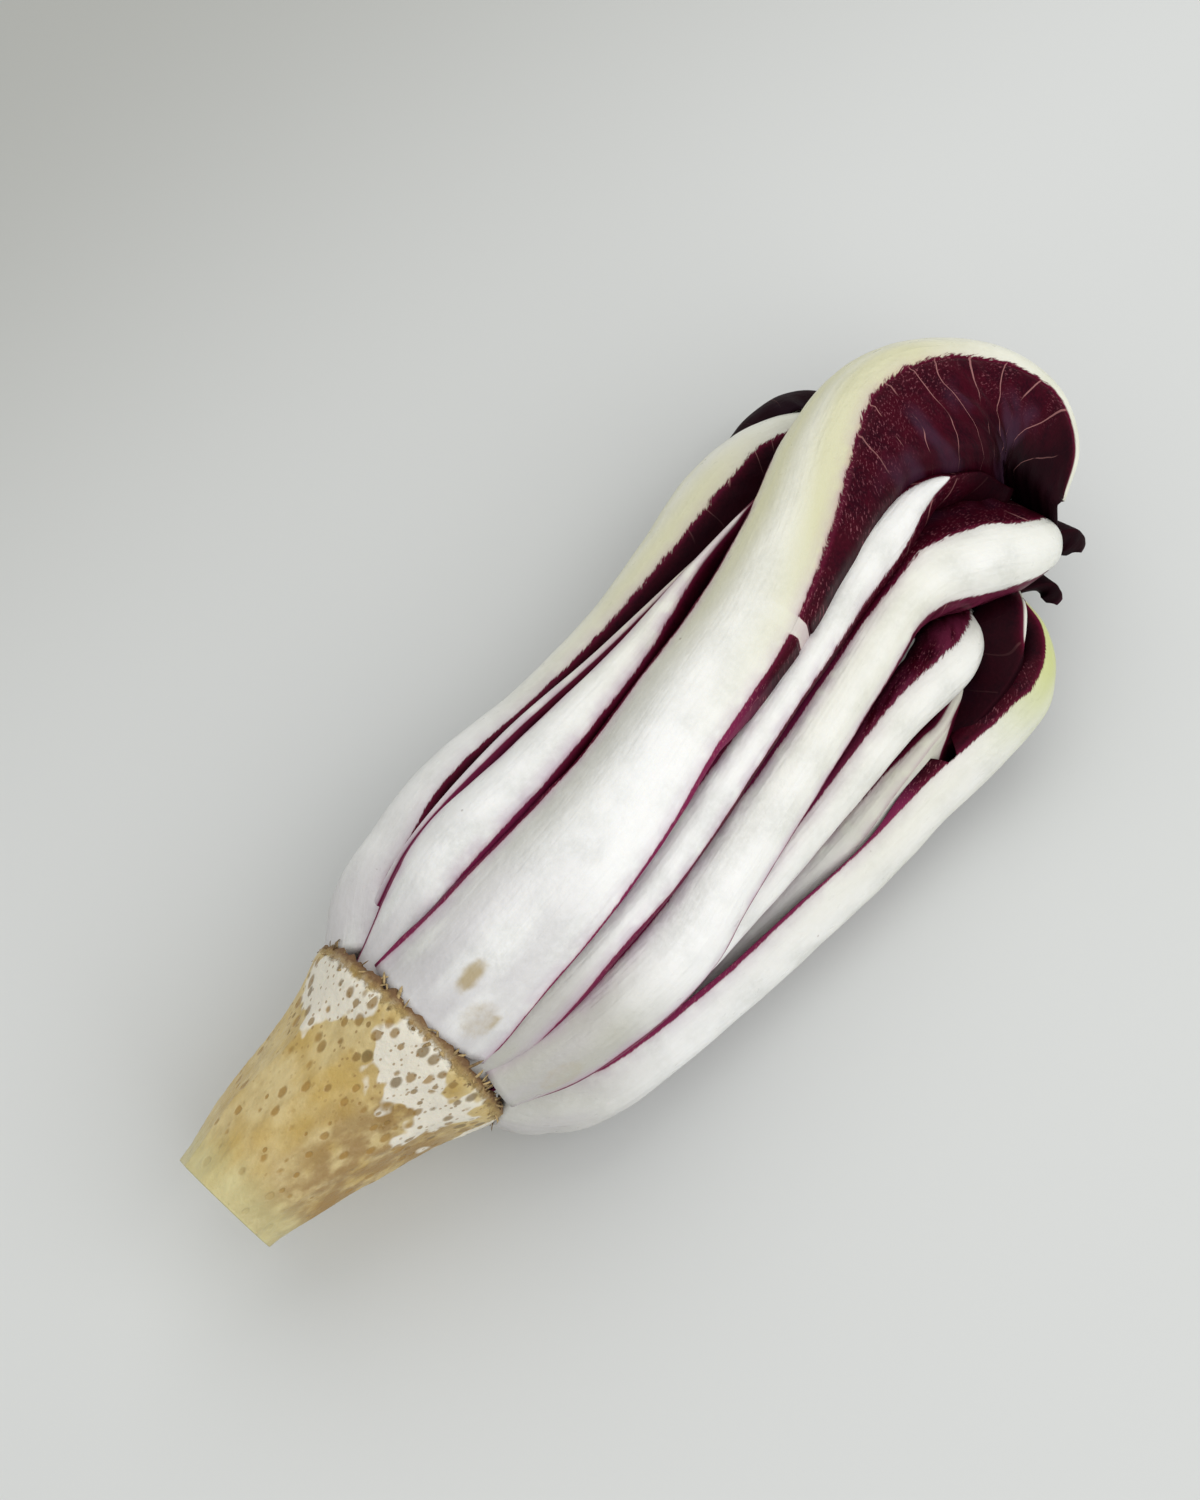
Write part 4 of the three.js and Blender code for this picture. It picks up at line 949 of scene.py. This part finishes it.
    # pink specks, crowded by the rib
    speck = ease(tree, streaks(1.1, 2.4, 2.0, 0.7, slant=0.9), 0.56, 0.66)
    cluster = ease(tree, noise(tree, surface, 0.10, 1.0), 0.36, 0.55)
    crowd = times(ease(tree, edge, 13.0, 0.5), ease(tree, depth, 0.6, 0.1), cluster)
    blade = over(blade, (170, 104, 114), speck, crowd, 0.5)
    vein = use_group(tree, veins, {
        "Along": along, "Edge": edge, "Share": share, "Spacing": 8.0, "Slant": -0.5,
    })["Vein"]
    vein = times(vein, ease(tree, fan, 9.0, 16.0))
    blade = over(blade, (178, 124, 122), vein, 0.75)
    # painted light: lighter folds where depth is below 0; painted shade where the blade lies deep in the
    # head
    painted_light = calc(tree, "MAXIMUM", times(depth, -1.0), 0.0)
    folds = ease(tree, streaks(0.08, 0.45, slant=0.12), 0.32, 0.6)
    blade = over(blade, (108, 38, 64), painted_light, ease(tree, share, 1.0, 0.3), folds)
    painted_shade = calc(tree, "MAXIMUM", depth, 0.0)
    blade = over(blade, (18, 3, 8), painted_shade, ease(tree, edge, 0.2, 3.0), 0.92)

    colour = blend(tree, red, rib, blade)
    silk = streaks(0.35, 0.6)
    gloss = plus(times(red, 0.08), times(red, painted_shade, 0.25), times(silk, 0.16), 0.22)
    ridges = streaks(0.035, 1.1)
    pimples = streaks(0.55, 0.8, 2.0)
    rib_height = plus(times(ridges, 0.30), times(pimples, 0.35))
    crinkle = streaks(0.35, 0.35)
    blade_height = plus(times(crinkle, 0.5), times(vein, 0.3))
    height = plus(times(rib_height, calc(tree, "SUBTRACT", 1.0, red)), times(blade_height, red))
    finish_group(tree, target, Colour=colour, Gloss=gloss, Height=height)
    return tree


def leaf_material(name, skin, shine, milky):
    """A leaf finish that takes colour, gloss and relief from the skin group. shine is the level of its
    mirror reflection: a rib is waxy, a blade nearly velvety. milky is how far light sinks into it."""
    material, tree, shader = new_material(name)
    looks = use_group(tree, skin, {key: attribute(tree, key) for key in LEAF_VALUES})
    fill(tree, shader, {
        "Base Color": looks["Colour"], "Roughness": looks["Gloss"],
        "Normal": relief(tree, looks["Height"], 0.55, 0.0009), "Specular IOR Level": shine,
        "Subsurface Weight": milky, "Subsurface Radius": (1.0, 0.9, 0.75), "Subsurface Scale": 0.0018,
    })
    return material


LONG_PORES = (620.0, 1000.0, 1000.0)  # metres to millimetres, with pores drawn out along the root


def root_material(mottle):
    """Peeled root: tan to ochre with smooth white patches towards the collar, brown oval pores that crowd
    there, painted shade in brown on the side facing right, a paler cut end and a frayed brown collar."""
    material, tree, shader = new_material("peeled_root")
    where = own_place(tree)
    stretched = node(tree, "ShaderNodeMapping", {"Vector": where, "Scale": LONG_PORES}).outputs[0]
    past, cut_end, side = attribute(tree, "past"), attribute(tree, "cut_end"), attribute(tree, "side")

    times, plus, over = chained(tree)
    colour = use_group(tree, mottle, {
        "Place": stretched, "Colour": rgb(216, 196, 142), "Patch Colour": rgb(196, 166, 92),
        "Grain Colour": rgb(170, 142, 82), "Patch Scale": 0.15, "Grain Scale": 0.45,
        "Patch Amount": 0.95, "Grain Amount": 0.45,
    })["Colour"]
    # painted shade: browner on the root's side facing right, in blotches, away from the collar
    turned = ease(tree, plus(side, times(noise(tree, stretched, 0.1, 3.0), 0.9)), 0.45, 1.25)
    blotchy = ease(tree, noise(tree, stretched, 0.35, 3.0), 0.3, 0.6)
    colour = over(colour, (146, 112, 62), turned, ease(tree, past, -2.0, -12.0), blotchy, 0.8)
    near_collar = ease(tree, past, -26.0, -6.0)
    # the white keeps near the collar but for one tongue down the middle
    bleached = noise(tree, stretched, 0.095, 3.0, 0.55)
    band = times(ease(tree, past, -12.0, -4.5), 0.19)
    middle = calc(tree, "ABSOLUTE", plus(side, times(past, 0.025), 0.35))
    tongue = times(ease(tree, middle, 0.4, 0.05), ease(tree, past, -27.0, -14.0), 0.08)
    far = times(ease(tree, past, -10.0, -18.0), -0.06)
    white = ease(tree, plus(bleached, calc(tree, "MAXIMUM", band, tongue), far), 0.62, 0.655)
    colour = over(colour, (238, 234, 220), white, 0.85)
    # pores: a spot in most cells of a scattered grid, each of its own size and tone
    cell = node(tree, "ShaderNodeTexVoronoi", {"Vector": stretched, "Scale": 0.5, "Randomness": 0.9})
    parts = node(tree, "ShaderNodeSeparateColor", {"Color": cell.outputs["Color"]}).outputs
    limit = plus(times(parts[0], 0.28), times(near_collar, 0.12), 0.08)
    ragged = times(centred(tree, noise(tree, stretched, 1.6, 2.0)), 0.12)
    ratio = calc(tree, "DIVIDE", plus(cell.outputs["Distance"], ragged), limit)
    pore = ease(tree, ratio, 1.2, 0.7)
    tone = blend(tree, times(parts[1], near_collar), rgb(164, 126, 56), rgb(112, 90, 46))
    colour = blend(tree, times(pore, 0.8), colour, tone)
    small = node(tree, "ShaderNodeTexVoronoi", {"Vector": stretched, "Scale": 0.95}).outputs["Distance"]
    colour = over(colour, (146, 112, 60), ease(tree, small, 0.26, 0.14), plus(near_collar, 0.3), 0.55)
    pale_end = calc(tree, "MAXIMUM", times(cut_end, 0.8), times(ease(tree, past, -31.0, -39.0), 0.6))
    colour = over(colour, (208, 202, 150), pale_end)
    # the collar: dry tan, then brown
    frayed = noise(tree, where, 1400.0, 4.0, 0.7)
    worn = centred(tree, frayed)
    collar = ease(tree, plus(past, times(worn, 3.0)), -1.7, -0.6)
    colour = over(colour, (170, 140, 86), collar, 0.85)
    colour = over(colour, (122, 90, 56), ease(tree, plus(past, times(worn, 2.0)), -0.8, 0.5))
    gloss = plus(times(noise(tree, stretched, 0.5, 3.0), 0.25), times(collar, 0.35), 0.24)
    rough = times(noise(tree, stretched, 0.7, 4.0, 0.55), 0.8)
    height = plus(rough, times(pore, -0.25), times(frayed, collar, 1.6))
    fill(tree, shader, {
        "Base Color": colour, "Roughness": gloss, "Normal": relief(tree, height, 0.6, 0.0008),
        "Subsurface Weight": 0.08, "Subsurface Radius": (1.0, 0.7, 0.4), "Subsurface Scale": 0.0015,
    })
    return material


def scrap_material():
    """Dry brown fibre, each scrap of its own tone."""
    material, tree, shader = new_material("collar_fibre")
    times, plus, over = chained(tree)
    streak = noise(tree, own_place(tree), 1800.0, 3.0, 0.6)
    colour = blend(tree, attribute(tree, "tone"), rgb(122, 94, 56), rgb(196, 170, 118))
    colour = over(colour, (54, 38, 24), ease(tree, streak, 0.4, 0.7), 0.5)
    fill(tree, shader, {
        "Base Color": colour, "Roughness": plus(times(streak, 0.3), 0.5),
        "Normal": relief(tree, streak, 0.5, 0.0004),
    })
    return material


# ------------------------------------------------------------------ table and light
TABLE_REACH = 6.0        # how far the table reaches each way, m
TABLE_DROP = 0.0001      # how far it lies under the head's flats, m
# the table's grey, painted light and shade that falls off across it: weights of x and y (metres), what
# noise adds, and where dark and pale are reached
TABLE_SLOPE = (-0.07785, -0.81005)
TABLE_NOISE = 0.02
TABLE_DARK, TABLE_PALE = -0.19, -0.03
# soft square lamps: place (metres, over the head's middle), side (metres) and power
LAMPS = {"window": ((0.16, -0.74, 0.85), 1.3, 7.2), "ceiling": ((0.35, 0.5, 0.9), 1.0, 3.8)}
LAMP_AIM = (0, 0, 0.02)
SKY_STRENGTH = 0.50


def table_material():
    """Pale matt grey that lightens evenly in one direction, by its own x and y: painted light and shade
    falling off across the table.
    """
    material, tree, shader = new_material("pale_table")
    times, plus, _ = chained(tree)
    where = own_place(tree)
    split = node(tree, "ShaderNodeSeparateXYZ", {"Vector": where}).outputs
    lean = plus(times(split["X"], TABLE_SLOPE[0]), times(split["Y"], TABLE_SLOPE[1]))
    lean = plus(lean, times(noise(tree, where, 3.0, 1.0), TABLE_NOISE))
    slope = ease(tree, lean, TABLE_DARK, TABLE_PALE)
    fill(tree, shader, {
        "Base Color": blend(tree, slope, rgb(174, 175, 170), rgb(215, 217, 215)),
        "Roughness": 0.55, "Specular IOR Level": 0.2,
    })
    return material


def make_table():
    """One square, a hair under the head so that it doesn't share a plane with the flats."""
    mesh = bpy.data.meshes.new("table")
    far = TABLE_REACH
    corners = [(x, y, -TABLE_DROP) for x, y in ((-far, -far), (far, -far), (far, far), (-far, far))]
    mesh.from_pydata(corners, [], [(0, 1, 2, 3)])
    mesh.materials.append(table_material())
    table = bpy.data.objects.new("table", mesh)
    bpy.context.scene.collection.objects.link(table)


def add_lamp(name, where, size, power):
    """A square soft lamp size metres wide at a place over the head, aimed at its middle."""
    data = bpy.data.lights.new(name, "AREA")
    data.size = size
    data.energy = power
    lamp = bpy.data.objects.new(name, data)
    bpy.context.scene.collection.objects.link(lamp)
    lamp.location = where
    lamp.rotation_mode = "QUATERNION"
    lamp.rotation_quaternion = (Vector(where) - Vector(LAMP_AIM)).to_track_quat("Z", "Y")


def make_light():
    """A wide window lamp from the right, a weaker one from above and a grey sky all round."""
    world = bpy.data.worlds.new("sky")
    bpy.context.scene.world = world
    world.use_nodes = True
    sky = next(n for n in world.node_tree.nodes if n.type == "BACKGROUND")
    fill(world.node_tree, sky, {"Color": (1.0, 1.0, 1.0, 1.0), "Strength": SKY_STRENGTH})
    for name, (where, size, power) in LAMPS.items():
        add_lamp(name, where, size, power)
    bpy.context.scene.view_settings.view_transform = "Standard"


# ------------------------------------------------------------------ the head
mottle = mottle_group()
veins = vein_group()
skin = leaf_skin_group(mottle, veins)
rib_finish = leaf_material("leaf_rib", skin, 0.4, 0.12)
blade_finish = leaf_material("leaf_blade", skin, 0.05, 0.0)
make_root(root_material(mottle))
make_collar(scrap_material())
for order, (leaf_name, leaf) in enumerate(LEAVES.items()):
    make_leaf(leaf_name, leaf, 3 + order, rib_finish, blade_finish)
make_table()
make_light()
